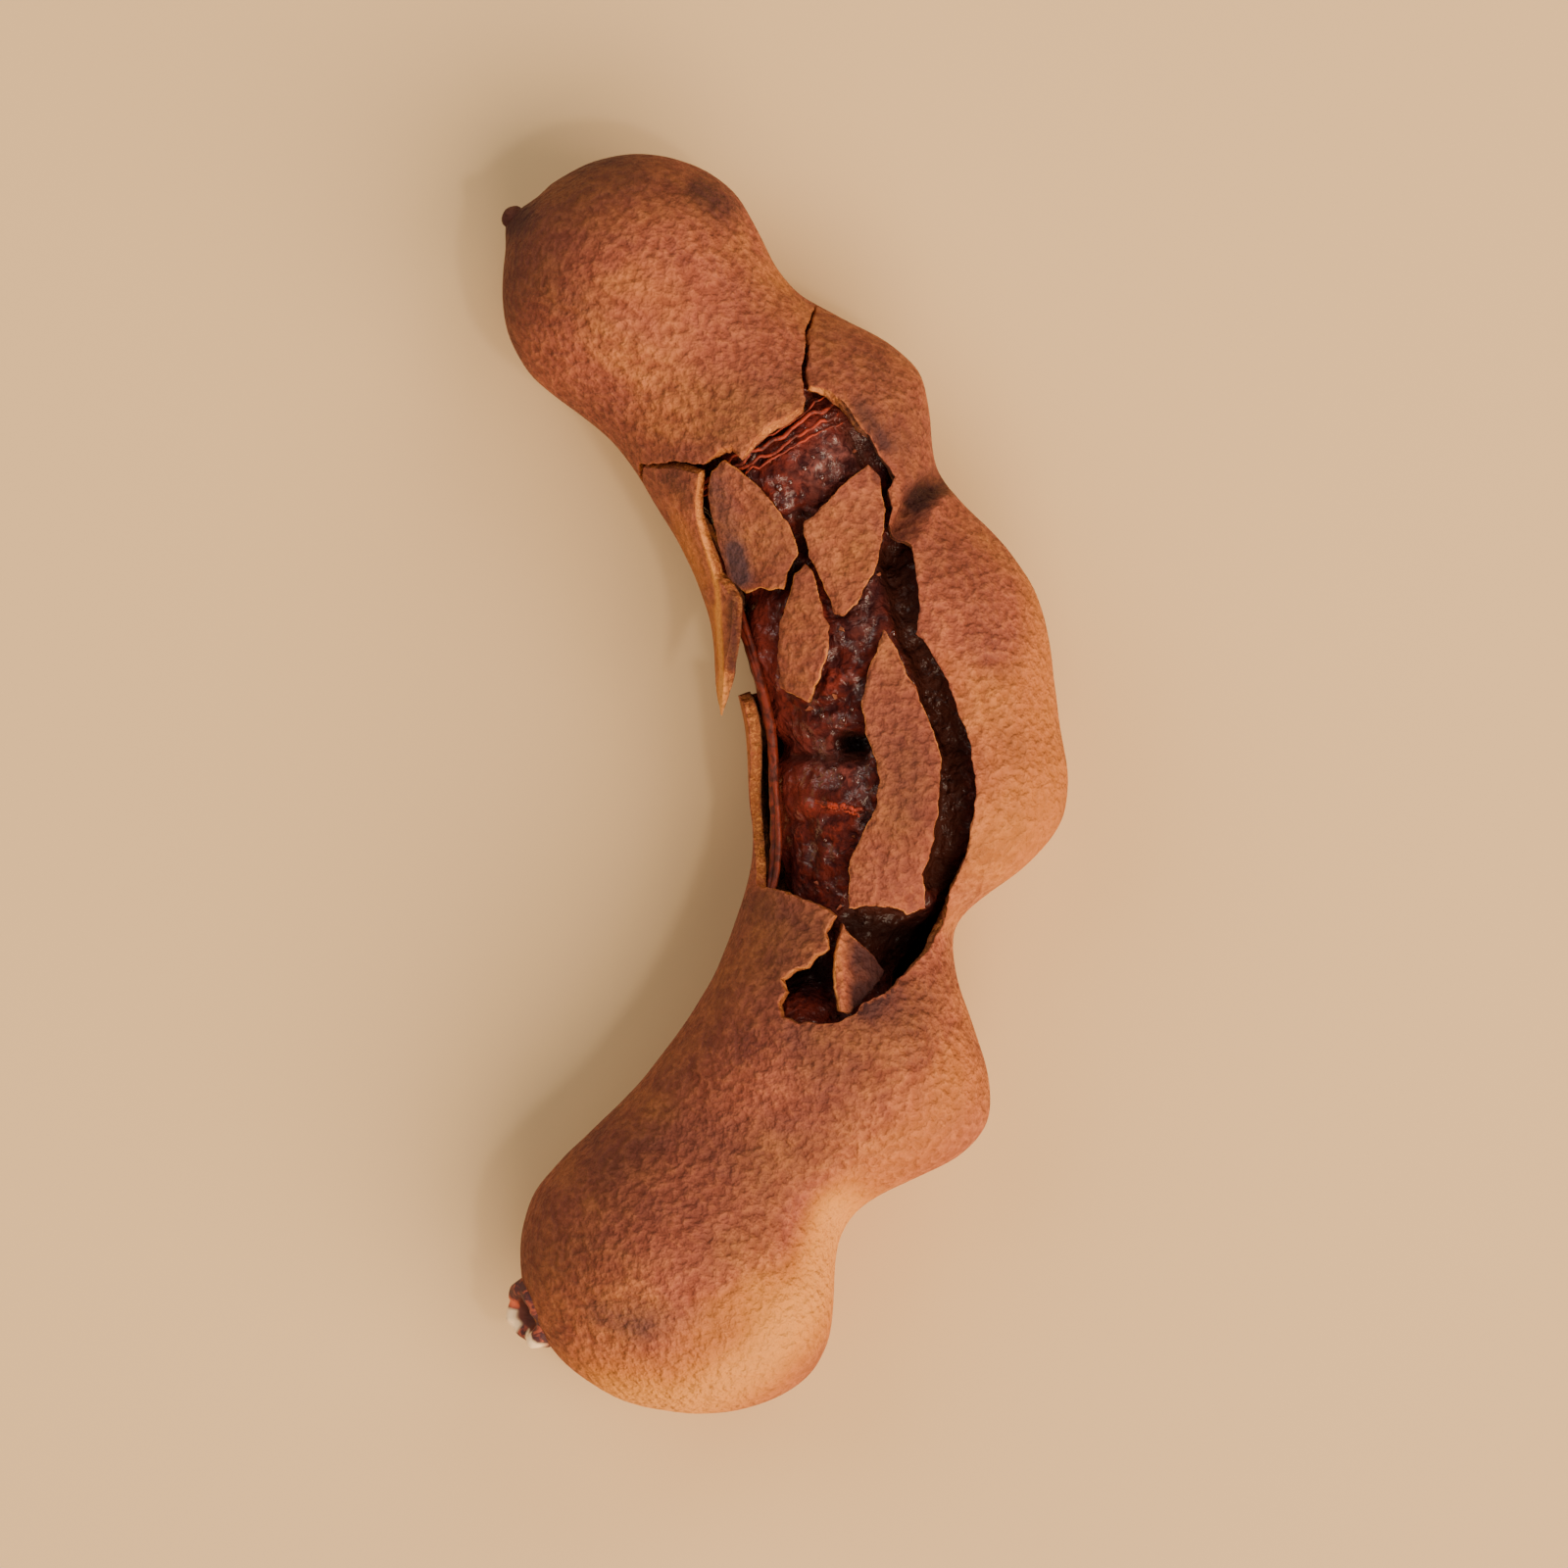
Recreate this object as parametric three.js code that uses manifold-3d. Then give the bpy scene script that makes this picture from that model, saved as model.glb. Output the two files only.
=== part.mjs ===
// A tamarind pod, cracked open on its upper face and lying on its flatter side.
// Millimetres, +Z up. The pod's length runs along Y, its hollow side faces -X, and the origin is
// on the surface it lies on, under the middle of its bounding box.
//
// Every point of the pod is given by how far it lies along the spine from the beak, by how far it
// has turned round the spine (0 at the bulging outer side, 90 degrees at the top, 180 at the
// hollow side), and by its depth under the skin. The husk, the flakes of husk, the pulp and the
// fibres are all measured off this one skin.

import * as THREE from 'three';
import { mergeVertices } from 'three/addons/utils/BufferGeometryUtils.js';
import Module from 'manifold-3d';

// ---------------------------------------------------------------- driving dimensions

const HUSK_WALL = 1.0; // the brittle husk is as thick as stout card
const AXIS_HEIGHT = 11; // the spine lies this far above the surface
const BEAK_DOME = 12; // length of the rounded end at the beak
const STALK_DOME = 13; // length of the rounded end at the stalk
const FLAKE_WALL = 0.9;
const PULP_DEPTH = 2.4; // from the skin down to the pulp
const PULP_INNER_DEPTH = 3.8; // more on the hollow side, where the main fibre runs
const FIBRE_DEPTH = 2.1;
const FIBRE_RADIUS = 0.55;
const SIDE_FIBRE_DEPTH = 1.75;
const SIDE_FIBRE_RADIUS = 0.3;
const GAP = 0.3; // air left between neighbouring pieces

// The spine is one curve in the horizontal plane, from the beak to the stalk.
const SPINE = new THREE.CubicBezierCurve3(
  new THREE.Vector3(-21.2, 51.9, AXIS_HEIGHT),
  new THREE.Vector3(22.7, 8.6, AXIS_HEIGHT),
  new THREE.Vector3(13.9, -6.4, AXIS_HEIGHT),
  new THREE.Vector3(-17.1, -52.3, AXIS_HEIGHT)
);
const LENGTH = SPINE.getLength();

// How far the skin stands from the spine at each lobe and each waist.
const SECTIONS = [
  { along: 0, out: 12.4, in: 11.4, up: 9.8, down: 11.0 },
  { along: 11.5, out: 12.5, in: 11.5, up: 10.2, down: 11.45 }, // first lobe
  { along: 20.8, out: 10.9, in: 10.1, up: 8.9, down: 10.0 },
  { along: 31.5, out: 15.1, in: 10.7, up: 10.7, down: 10.8 }, // second lobe
  { along: 39.2, out: 12.0, in: 11.4, up: 9.6, down: 10.3 },
  { along: 49, out: 15.7, in: 12.0, up: 11.2, down: 11.0 }, // third lobe, two seeds long
  { along: 56.5, out: 15.6, in: 11.9, up: 11.0, down: 11.3 },
  { along: 63.2, out: 16.0, in: 11.6, up: 11.1, down: 11.0 },
  { along: 72.4, out: 8.9, in: 10.0, up: 8.8, down: 9.6 },
  { along: 84.6, out: 17.95, in: 9.4, up: 11.2, down: 10.8 }, // fourth lobe
  { along: 96.6, out: 11.7, in: 10.4, up: 9.6, down: 10.2 },
  { along: 107, out: 15.9, in: 12.8, up: 11.2, down: 11.45 }, // fifth lobe
  { along: LENGTH, out: 15.3, in: 12.9, up: 10.8, down: 11.2 },
];

// The break in the husk, seen from above: [x, y], with a third value of -1 under the pod.
const BREAK = [
  [-5.5, 29.2], [-4.2, 29.7], [-3.4, 28.5], [-2.6, 29.8], [-1.4, 31.3], [0.5, 32.3], [2.0, 33.1],
  [2.1, 35.5], [2.5, 38.4], [3.0, 41.2], [3.3, 41.2], [2.9, 38.3], [2.6, 35.6], // hairline up the waist
  [3.8, 34.8], [5.5, 33.7], [6.7, 32.1], [8.4, 29.8], [9.4, 28.3], [10.1, 27.1], [9.4, 25.9],
  [9.8, 24.3], [9.5, 22.9], [10.3, 21.9], [11.5, 20.9], [12.1, 16.9], [12.0, 13.3], [13.7, 10.8],
  [15.6, 6.5], [16.6, 3.6], [16.9, 1.2], [16.6, -3.7], [15.8, -7.3], [15.0, -9.2], [14.6, -12.2],
  [13.3, -14.1], [11.0, -16.3], [7.4, -19.0], [5.5, -20.5], [3.3, -20.8], [1.3, -20.7],
  [0.2, -20.1], [-0.3, -19.0], [0.5, -17.9], [-0.1, -16.8], [1.3, -15.9], [2.3, -15.6],
  [3.1, -14.7], [4.1, -14.2], [3.8, -12.8], [4.7, -11.4], [4.1, -10.8],
  [2.1, -10.0], [-0.2, -9.1], [-2.2, -8.8], [-2.6, -3.6], [-2.6, 2.1], [-2.8, 6.6], [-3.3, 8.2],
  [-2.1, 10.1, -1], [-4.0, 14.6, -1], [-6.6, 20.7, -1], [-9.7, 26.4, -1],
  [-12.4, 28.4], [-9.3, 28.4], [-6.7, 28.1],
];

// The flakes of husk that stayed on the pulp, in the same plan. Each one has sunk by `sink` and
// tipped a little about its own middle.
const FLAKES = {
  flake_hollow_side: {
    plan: [
      [-6.3, 27.3], [-5.2, 28.4], [-3.0, 26.8], [-1.3, 25.1], [0.4, 23.0], [1.2, 21.5],
      [1.3, 20.2], [0.4, 18.6], [0.0, 17.1], [-2.2, 17.1], [-3.4, 16.6], [-5.1, 18.1],
      [-5.9, 20.8], [-6.6, 23.9], [-6.7, 25.9],
    ],
    sink: 0.6,
    tip: [2, 3, 0],
  },
  flake_middle: {
    plan: [
      [8.0, 28.3], [8.8, 27.2], [8.9, 25.9], [9.2, 24.2], [9.0, 22.4], [8.6, 19.3], [7.4, 17.1], [6.7, 16.0],
      [5.5, 14.8], [4.7, 15.0], [4.0, 16.9], [3.2, 18.7], [2.5, 20.0], [2.1, 22.0], [2.1, 22.8],
      [3.6, 24.3], [5.5, 26.3],
    ],
    sink: 0.5,
    tip: [3, -2, 0],
  },
  flake_narrow: {
    plan: [
      [2.0, 19.2], [2.7, 18.6], [3.1, 16.9], [3.5, 14.6], [4.1, 13.9], [3.6, 11.1], [2.6, 8.6],
      [2.0, 7.2], [0.9, 7.8], [-0.6, 8.4], [-0.8, 11.1], [-0.5, 13.8], [0.3, 15.8], [0.7, 17.3],
      [1.1, 18.4],
    ],
    sink: 0.8,
    tip: [-1, 2, 0],
  },
  flake_long: {
    plan: [
      [9.0, 13.7], [10.3, 11.6], [11.0, 9.9], [12.5, 7.2], [13.5, 4.8], [14.2, 2.4], [14.1, -0.3],
      [13.7, -3.2], [13.5, -5.6], [12.8, -7.8], [13.2, -9.7], [13.3, -10.9], [11.7, -11.3],
      [9.8, -10.6], [7.4, -10.5], [6.0, -10.6], [5.9, -8.5], [5.9, -6.6], [7.1, -4.1],
      [8.2, -2.0], [8.5, 0.5], [8.2, 2.2], [7.4, 4.3], [6.9, 7.2], [7.6, 9.9], [8.4, 12.3],
    ],
    sink: 0.6,
    tip: [0, 2, 0],
  },
  flake_fallen: { // it dropped into the empty neck: its left edge is high, its right edge deep
    plan: [
      [5.6, -12.1], [4.6, -14.6], [4.4, -17.6], [4.6, -19.8], [5.5, -19.7], [7.4, -18.2],
      [9.5, -16.6], [8.4, -15.2], [6.3, -13.3],
    ],
    sink: 1.2,
    tip: [0, 24, 0],
  },
};

// The second waist is creased on its upper side, from the outline to the break: a groove cut by a
// round thread that lies partly above the skin.
const CREASE = {
  plan: [[16.2, 28.9], [15.0, 28.1], [13.8, 27.0], [12.4, 25.4], [11.4, 23.8]],
  radius: 1.3,
  height: 0.75,
};

// The splinter on the hollow side: its top edge lies against the first lobe, and its free point
// bows away from the pod.
const SPLINTER = {
  plan: [
    [-11.9, 28.0], [-9.3, 27.8], [-7.1, 27.3], [-7.4, 25.1], [-7.5, 23.5], [-6.8, 21.2],
    [-5.8, 18.3], [-5.0, 15.8], [-4.2, 13.1], [-3.4, 9.4], [-3.3, 6.6],
    [-3.9, 10.2, -1], [-5.1, 15.0, -1], [-7.9, 21.0, -1], [-10.7, 26.2, -1],
  ],
  bowFrom: 18, // y where the bow starts
  bowReach: 12, // length of the bowed stretch
  bow: 1.9, // how far the point stands off
};

// The pulp is pinched between its seeds, and thin where it pulled apart at the third waist.
const PINCHES = [
  { along: 21, half: 2.6, keep: 0.84 },
  { along: 40, half: 2.4, keep: 0.86 },
  { along: 58, half: 1.8, keep: 0.93 },
  { along: 78, half: 4.2, keep: 0.5 },
  { along: 97, half: 2.8, keep: 0.84 },
];

// Side fibres leave the main one and cross the pulp: where they start and how far round they go.
const SIDE_FIBRES = [
  { along: 29.6, slant: 0.8, reach: 95 },
  { along: 63.5, slant: 1, reach: 49 },
  { along: 99, slant: 2, reach: 70 },
];
const MAIN_FIBRE_AROUND = 150;

// The beak is what is left of the flower's style: a small round knob on a short neck at the pod's
// tip. Turned profiles are [radius, height].
const BEAK = {
  root: new THREE.Vector3(-22.6, 49.5, AXIS_HEIGHT),
  facing: new THREE.Vector3(-0.86, 0.51, 0),
  profile: [
    [0, -3], [1.9, -3], [1.5, -0.2], [0.8, 0.25], [1.0, 0.6], [1.05, 1.0], [0.9, 1.45], [0.5, 1.8],
    [0, 1.95],
  ],
};

// The stalk's stub leaves the fifth lobe on the hollow side: a torn, hollow collar outside the
// husk, and a peg that passes through it.
const STALK = {
  root: new THREE.Vector3(-21.7, -45.7, AXIS_HEIGHT),
  facing: new THREE.Vector3(-0.95, -0.32, 0),
  collar: [[0, -1], [2.7, -1], [2.7, 0.9], [2.2, 2.1], [1.6, 2.1], [1.3, 1.0], [0, 0.9]],
  peg: [[0, -2.1], [1.4, -2.1], [1.4, 0.95], [0, 0.95]],
  hole: [[0, -4], [1.7, -4], [1.7, 3], [0, 3]],
};

// ---------------------------------------------------------------- the skin

const wasm = await Module();
wasm.setup();

const RADIANS = Math.PI / 180;
const SAMPLES = 600;

// The spine's points, with the level direction that faces the outer side, at even steps.
const spineSamples = Array.from({ length: SAMPLES + 1 }, (_, i) => {
  const point = SPINE.getPointAt(i / SAMPLES);
  const tangent = SPINE.getTangentAt(i / SAMPLES);
  return { point, outward: new THREE.Vector3(-tangent.y, tangent.x, 0) };
});

function spineAt(along) {
  const place = THREE.MathUtils.clamp((along / LENGTH) * SAMPLES, 0, SAMPLES);
  const i = Math.min(Math.floor(place), SAMPLES - 1);
  const [a, b] = [spineSamples[i], spineSamples[i + 1]];
  return {
    point: a.point.clone().lerp(b.point, place - i),
    outward: a.outward.clone().lerp(b.outward, place - i).normalize(),
  };
}

// One of the section's reaches at a place along the spine, on a smooth curve through SECTIONS.
function reachAt(key, along) {
  const last = SECTIONS.length - 1;
  let i = SECTIONS.findIndex((s) => s.along > along) - 1;
  if (i < 0) i = along <= 0 ? 0 : last - 1;
  const slope = (k) => {
    const [a, b] = [SECTIONS[Math.max(k - 1, 0)], SECTIONS[Math.min(k + 1, last)]];
    return (b[key] - a[key]) / (b.along - a.along);
  };
  const [a, b] = [SECTIONS[i], SECTIONS[i + 1]];
  const width = b.along - a.along;
  const t = THREE.MathUtils.clamp((along - a.along) / width, 0, 1);
  return (
    (2 * t ** 3 - 3 * t ** 2 + 1) * a[key] +
    (t ** 3 - 2 * t ** 2 + t) * width * slope(i) +
    (3 * t ** 2 - 2 * t ** 3) * b[key] +
    (t ** 3 - t ** 2) * width * slope(i + 1)
  );
}

// The rounding of both ends, from 0 at the pole to 1 where the dome ends.
function domeAt(along, depth) {
  const fromEnd = (distance, dome) => {
    const t = THREE.MathUtils.clamp((distance - depth) / (dome - depth), 0, 1);
    return Math.sqrt(1 - (1 - t) ** 2);
  };
  return fromEnd(along, BEAK_DOME) * fromEnd(LENGTH - along, STALK_DOME);
}

// The point at a place along the spine and round it, at a depth under the skin.
function skin(along, around, depth, keep = 1, innerDepth = depth) {
  const { point, outward } = spineAt(along);
  const [c, s] = [Math.cos(around), Math.sin(around)];
  const dome = domeAt(along, depth) * keep;
  const level = c > 0 ? reachAt('out', along) - depth : reachAt('in', along) - innerDepth;
  const rise = s > 0 ? reachAt('up', along) - depth : reachAt('down', along) - depth;
  point.addScaledVector(outward, c * level * dome);
  point.z = Math.max(point.z + s * rise * dome, depth);
  return point;
}

// The place on the skin that lies under a point of the plan: { along, around }.
function locate([x, y, side = 1]) {
  let best = 0;
  let nearest = Infinity;
  spineSamples.forEach(({ point }, i) => {
    const d = (point.x - x) ** 2 + (point.y - y) ** 2;
    if (d < nearest) [nearest, best] = [d, i];
  });
  const along = (best / SAMPLES) * LENGTH;
  const { point, outward } = spineSamples[best];
  const level = (x - point.x) * outward.x + (y - point.y) * outward.y;
  const reach = reachAt(level > 0 ? 'out' : 'in', along) * domeAt(along, 0);
  const around = Math.acos(THREE.MathUtils.clamp(level / reach, -1, 1));
  return { along, around: side < 0 ? 2 * Math.PI - around : around };
}

// ---------------------------------------------------------------- solids and meshes

function solidFrom(points, triangles) {
  const vertProperties = new Float32Array(points.flatMap((p) => [p.x, p.y, p.z]));
  const made = new wasm.Manifold(
    new wasm.Mesh({ numProp: 3, vertProperties, triVerts: new Uint32Array(triangles.flat()) })
  );
  if (made.volume() > 0) return made;
  return solidFrom(points, triangles.map(([a, b, c]) => [a, c, b]));
}

function solidOf(geometry) {
  const bare = geometry.clone().deleteAttribute('normal').deleteAttribute('uv');
  const merged = mergeVertices(bare, 1e-4);
  return new wasm.Manifold(
    new wasm.Mesh({
      numProp: 3,
      vertProperties: merged.attributes.position.array,
      triVerts: new Uint32Array(merged.index.array),
    })
  );
}

function geometryOf(solid) {
  const { vertProperties, triVerts } = solid.getMesh();
  const geometry = new THREE.BufferGeometry();
  geometry.setAttribute('position', new THREE.BufferAttribute(vertProperties, 3));
  geometry.setIndex(new THREE.BufferAttribute(triVerts, 1));
  geometry.computeVertexNormals();
  return geometry;
}

// Ring places along the spine: closer over the two domes, even between them.
function ringPlaces(depth, domeRings, bodyRings) {
  const places = [];
  const [beak, stalk] = [BEAK_DOME - depth, STALK_DOME - depth];
  for (let i = 1; i < domeRings; i++) {
    places.push(depth + beak * (1 - Math.cos((i / domeRings) * (Math.PI / 2))));
  }
  for (let i = 0; i <= bodyRings; i++) {
    places.push(THREE.MathUtils.lerp(BEAK_DOME, LENGTH - STALK_DOME, i / bodyRings));
  }
  for (let i = domeRings - 1; i > 0; i--) {
    places.push(LENGTH - depth - stalk * (1 - Math.cos((i / domeRings) * (Math.PI / 2))));
  }
  return places;
}

// A closed body with its rings on surface(along, around), from one pole to the other.
function closedBody(places, sides, depth, surface) {
  const points = [surface(depth, 0)];
  const triangles = [];
  for (const along of places) {
    for (let j = 0; j < sides; j++) points.push(surface(along, (j / sides) * 2 * Math.PI));
  }
  points.push(surface(LENGTH - depth, 0));
  const end = points.length - 1;
  for (let j = 0; j < sides; j++) {
    const k = (j + 1) % sides;
    triangles.push([0, 1 + j, 1 + k]);
    for (let i = 0; i + 1 < places.length; i++) {
      const [near, far] = [1 + i * sides, 1 + (i + 1) * sides];
      triangles.push([near + j, far + j, far + k], [near + j, far + k, near + k]);
    }
    const lastRing = 1 + (places.length - 1) * sides;
    triangles.push([lastRing + j, end, lastRing + k]);
  }
  return solidFrom(points, triangles);
}

// Splits triangles until no edge is longer than the limit, the same way on both sides of an edge.
function refine(points, triangles, limit) {
  const middles = new Map();
  const middle = (a, b) => {
    const key = a < b ? `${a},${b}` : `${b},${a}`;
    if (points[a].distanceTo(points[b]) <= limit) return -1;
    if (!middles.has(key)) middles.set(key, points.push(points[a].clone().lerp(points[b], 0.5)) - 1);
    return middles.get(key);
  };
  const made = triangles.flatMap(([a, b, c]) => {
    const [ab, bc, ca] = [middle(a, b), middle(b, c), middle(c, a)];
    const corners = [a, ab, b, bc, c, ca].filter((i) => i >= 0);
    if (corners.length === 3) return [[a, b, c]];
    if (corners.length === 6) return [[a, ab, ca], [ab, b, bc], [ca, bc, c], [ab, bc, ca]];
    const first = corners.indexOf([ab, bc, ca].find((i) => i >= 0));
    const turn = (n) => corners[(first + n) % corners.length];
    return Array.from({ length: corners.length - 2 }, (_, n) => [turn(0), turn(n + 1), turn(n + 2)]);
  });
  return middles.size ? refine(points, made, limit) : made;
}

// A plate cut from the skin along an outline in the plan, between two depths.
function plate(plan, topDepth, bottomDepth, bend = (p) => p) {
  const FLAT_RADIUS = 12; // unrolls turns round the spine into millimetres
  const LONGEST_EDGE = 4.5;
  const contour = plan.map(locate).map(({ along, around }) => new THREE.Vector2(along, around * FLAT_RADIUS));
  const triangles = refine(contour, THREE.ShapeUtils.triangulateShape(contour, []), LONGEST_EDGE);
  const layer = (depth) => contour.map((p) => bend(skin(p.x, p.y / FLAT_RADIUS, depth)));
  const points = [...layer(topDepth), ...layer(bottomDepth)];
  const half = contour.length;
  const open = new Map();
  for (const t of triangles) {
    t.forEach((a, i) => {
      const b = t[(i + 1) % 3];
      if (!open.delete(`${b},${a}`)) open.set(`${a},${b}`, [a, b]);
    });
  }
  const walls = [...open.values()].flatMap(([a, b]) => [[b, a, a + half], [b, a + half, b + half]]);
  const under = triangles.map(([a, b, c]) => [a + half, c + half, b + half]);
  return solidFrom(points, [...triangles, ...under, ...walls]);
}

// ---------------------------------------------------------------- the pieces

const material = (name, color, roughness) =>
  new THREE.MeshStandardMaterial({ name, color, roughness, metalness: 0 });
const HUSK_FINISH = material('husk', 0xa9643a, 0.85);
const PULP_FINISH = material('pulp', 0x3a130c, 0.3);
const FIBRE_FINISH = material('fibre', 0xa8481f, 0.6);
const STALK_FINISH = material('stalk', 0xb98d6a, 0.8);

function mesh(name, solid, finish) {
  const made = new THREE.Mesh(geometryOf(solid), finish);
  made.name = name;
  return made;
}

// A turned body that stands on a root and faces one way.
function turned(profile, { root, facing }, sides = 16) {
  const shape = new THREE.LatheGeometry(profile.map(([r, y]) => new THREE.Vector2(r, y)), sides);
  const upright = new THREE.Vector3(0, 1, 0);
  shape.applyQuaternion(new THREE.Quaternion().setFromUnitVectors(upright, facing.clone().normalize()));
  shape.translate(root.x, root.y, root.z);
  return solidOf(shape);
}

const huskOutside = (depth) =>
  closedBody(ringPlaces(depth, 6, 46), 36, depth, (along, around) => skin(along, around, depth));

function crease() {
  const route = CREASE.plan.map(locate);
  return thread(route.map(({ along, around }) => skin(along, around, -CREASE.height)), CREASE.radius);
}

function husk() {
  const inside = closedBody(ringPlaces(HUSK_WALL, 5, 38), 30, HUSK_WALL, (along, around) =>
    skin(along, around, HUSK_WALL)
  );
  return huskOutside(0)
    .add(turned(BEAK.profile, BEAK, 12))
    .subtract(inside)
    .subtract(plate(BREAK, -1.5, HUSK_WALL + 1.2))
    .subtract(crease())
    .subtract(turned(STALK.hole, STALK));
}

function stalkStub() {
  return turned(STALK.collar, STALK).subtract(huskOutside(-GAP)).add(turned(STALK.peg, STALK));
}

// The pulp fills the husk loosely, lobe by lobe, with a lumpy surface.
function pulp() {
  const pinchAt = (along) =>
    PINCHES.reduce((keep, p) => keep * (1 - (1 - p.keep) * Math.exp(-(((along - p.along) / p.half) ** 2))), 1);
  const lump = (along, around) =>
    0.16 * Math.sin(along * 0.9 + 3 * around) + 0.12 * Math.sin(along * 0.55 - 4 * around + 1);
  const surface = (along, around) => {
    const more = lump(along, around) * domeAt(along, PULP_DEPTH);
    return skin(along, around, PULP_DEPTH + more, pinchAt(along), PULP_INNER_DEPTH + more);
  };
  return closedBody(ringPlaces(PULP_DEPTH, 4, 42), 24, PULP_DEPTH, surface);
}

function thread(points, radius) {
  const section = new THREE.Shape();
  section.absarc(0, 0, radius, 0, 2 * Math.PI);
  const path = new THREE.CatmullRomCurve3(points);
  const steps = Math.ceil(path.getLength() / 2);
  return solidOf(
    new THREE.ExtrudeGeometry(section, { steps, extrudePath: path, curveSegments: 6, bevelEnabled: false })
  );
}

// The main fibre runs the pod's whole length on its hollow side; side fibres cross over the pulp.
function fibres() {
  const start = 9;
  const stop = LENGTH - 9;
  const main = Array.from({ length: 31 }, (_, i) =>
    skin(THREE.MathUtils.lerp(start, stop, i / 30), MAIN_FIBRE_AROUND * RADIANS, FIBRE_DEPTH)
  );
  return SIDE_FIBRES.reduce((made, { along, slant, reach }) => {
    const side = Array.from({ length: 9 }, (_, i) => {
      const around = MAIN_FIBRE_AROUND - (i / 8) * reach;
      return skin(along + (i / 8) * slant, around * RADIANS, SIDE_FIBRE_DEPTH);
    });
    return made.add(thread(side, SIDE_FIBRE_RADIUS));
  }, thread(main, FIBRE_RADIUS));
}

// A flake is placed by its middle, so that it tips about its own middle.
function flake(name, { plan, sink, tip }) {
  const made = mesh(name, plate(plan, sink, sink + FLAKE_WALL), HUSK_FINISH);
  made.geometry.computeBoundingBox();
  const middle = made.geometry.boundingBox.getCenter(new THREE.Vector3());
  made.geometry.translate(-middle.x, -middle.y, -middle.z);
  made.position.copy(middle);
  made.rotation.set(...tip.map((degrees) => degrees * RADIANS));
  return made;
}

function splinter() {
  const bend = (p) => {
    const t = Math.max(0, (SPLINTER.bowFrom - p.y) / SPLINTER.bowReach);
    p.x -= SPLINTER.bow * t * t;
    return p;
  };
  return mesh('splinter', plate(SPLINTER.plan, 0, FLAKE_WALL, bend), HUSK_FINISH);
}

const pod = new THREE.Group();
pod.add(
  mesh('husk', husk(), HUSK_FINISH),
  mesh('pulp', pulp(), PULP_FINISH),
  mesh('fibres', fibres(), FIBRE_FINISH),
  mesh('stalk_stub', stalkStub(), STALK_FINISH),
  ...Object.entries(FLAKES).map(([name, facts]) => flake(name, facts)),
  splinter()
);

export default pod;
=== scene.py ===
"""The looks of a ripe tamarind pod whose brittle husk has cracked open over its sticky pulp.

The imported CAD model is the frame. Every piece is measured off the pod's skin, as the CAD pieces
are: a point is given by how far it lies along the spine from the beak, by how far it has turned
round the spine (0 at the bulging outer side, a quarter turn at the top), and by its depth under
the skin. Lengths are millimetres until a mesh is made.
"""

import logging
import math
from dataclasses import dataclass, field
from enum import Enum
from typing import Callable, Sequence

import bmesh
import bpy
import numpy as np
from mathutils import Matrix, Vector, noise
from mathutils.geometry import delaunay_2d_cdt


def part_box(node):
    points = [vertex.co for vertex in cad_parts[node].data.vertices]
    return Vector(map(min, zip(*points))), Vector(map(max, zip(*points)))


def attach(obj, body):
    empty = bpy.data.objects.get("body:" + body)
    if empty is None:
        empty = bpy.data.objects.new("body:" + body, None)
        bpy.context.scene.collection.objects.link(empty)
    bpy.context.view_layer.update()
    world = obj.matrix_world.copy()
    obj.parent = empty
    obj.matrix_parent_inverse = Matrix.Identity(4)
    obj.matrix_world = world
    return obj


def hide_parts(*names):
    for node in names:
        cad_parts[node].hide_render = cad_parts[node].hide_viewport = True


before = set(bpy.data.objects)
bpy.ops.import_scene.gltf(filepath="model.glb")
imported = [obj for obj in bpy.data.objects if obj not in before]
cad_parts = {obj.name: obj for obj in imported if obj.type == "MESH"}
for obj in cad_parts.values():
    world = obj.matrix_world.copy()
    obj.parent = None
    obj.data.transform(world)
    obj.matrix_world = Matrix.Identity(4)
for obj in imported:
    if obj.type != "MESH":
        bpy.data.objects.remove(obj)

LOG = logging.getLogger("tamarind")
MM = 0.001  # metres in a millimetre
BODY = "root"
ROLL_RADIUS = 12.0  # turns round the spine are unrolled to millimetres on this radius
SMALLER_JAGS = 2.7  # how much smaller the fine jags of a break are than its coarse ones
INSIDE_ONLY = 1  # Blender's number for triangles that stay inside an outline
SAME_PLACE = 1e-7  # points nearer than this are one point

Array = np.ndarray
Rows = Sequence[tuple[float, ...]]
Plan = Rows  # points as x, y
Mesh = tuple[Array, list]  # points as rows of x, y, z, and the corner numbers of each face


# ---------------------------------------------------------------- lines and circles


def unit(vectors: Array) -> Array:
    """Gives vectors of length 1 with the same headings."""
    return vectors / np.maximum(np.linalg.norm(vectors, axis=-1, keepdims=True), 1e-9)


def leftward(headings: Array) -> Array:
    """Turns headings in plan a quarter turn to the left."""
    return np.stack([-headings[:, 1], headings[:, 0]], axis=1)


def run_length(route: Array) -> Array:
    """Gives how far along a route each of its points lies."""
    return np.concatenate([[0.0], np.cumsum(np.linalg.norm(np.diff(route, axis=0), axis=1))])


def evenly(route: Array, count: int) -> Array:
    """Spaces that many points evenly along a route in plan."""
    run = run_length(route)
    even = np.linspace(0.0, run[-1], count)
    return np.stack([np.interp(even, run, route[:, k]) for k in (0, 1)], axis=1)


def full_turn(count: int) -> Array:
    """Gives that many angles, evenly once round."""
    return np.linspace(0, 2 * math.pi, count, endpoint=False)


def level_circle(turn: Array, radius: Array | float) -> Array:
    """Gives points on the level at angles round the origin."""
    return np.stack([np.cos(turn) * radius, np.sin(turn) * radius, np.zeros(len(turn))], axis=1)


def held(values: Array) -> Array:
    """Holds values between 0 and 1."""
    return np.clip(values, 0.0, 1.0)


# ---------------------------------------------------------------- the skin


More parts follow.
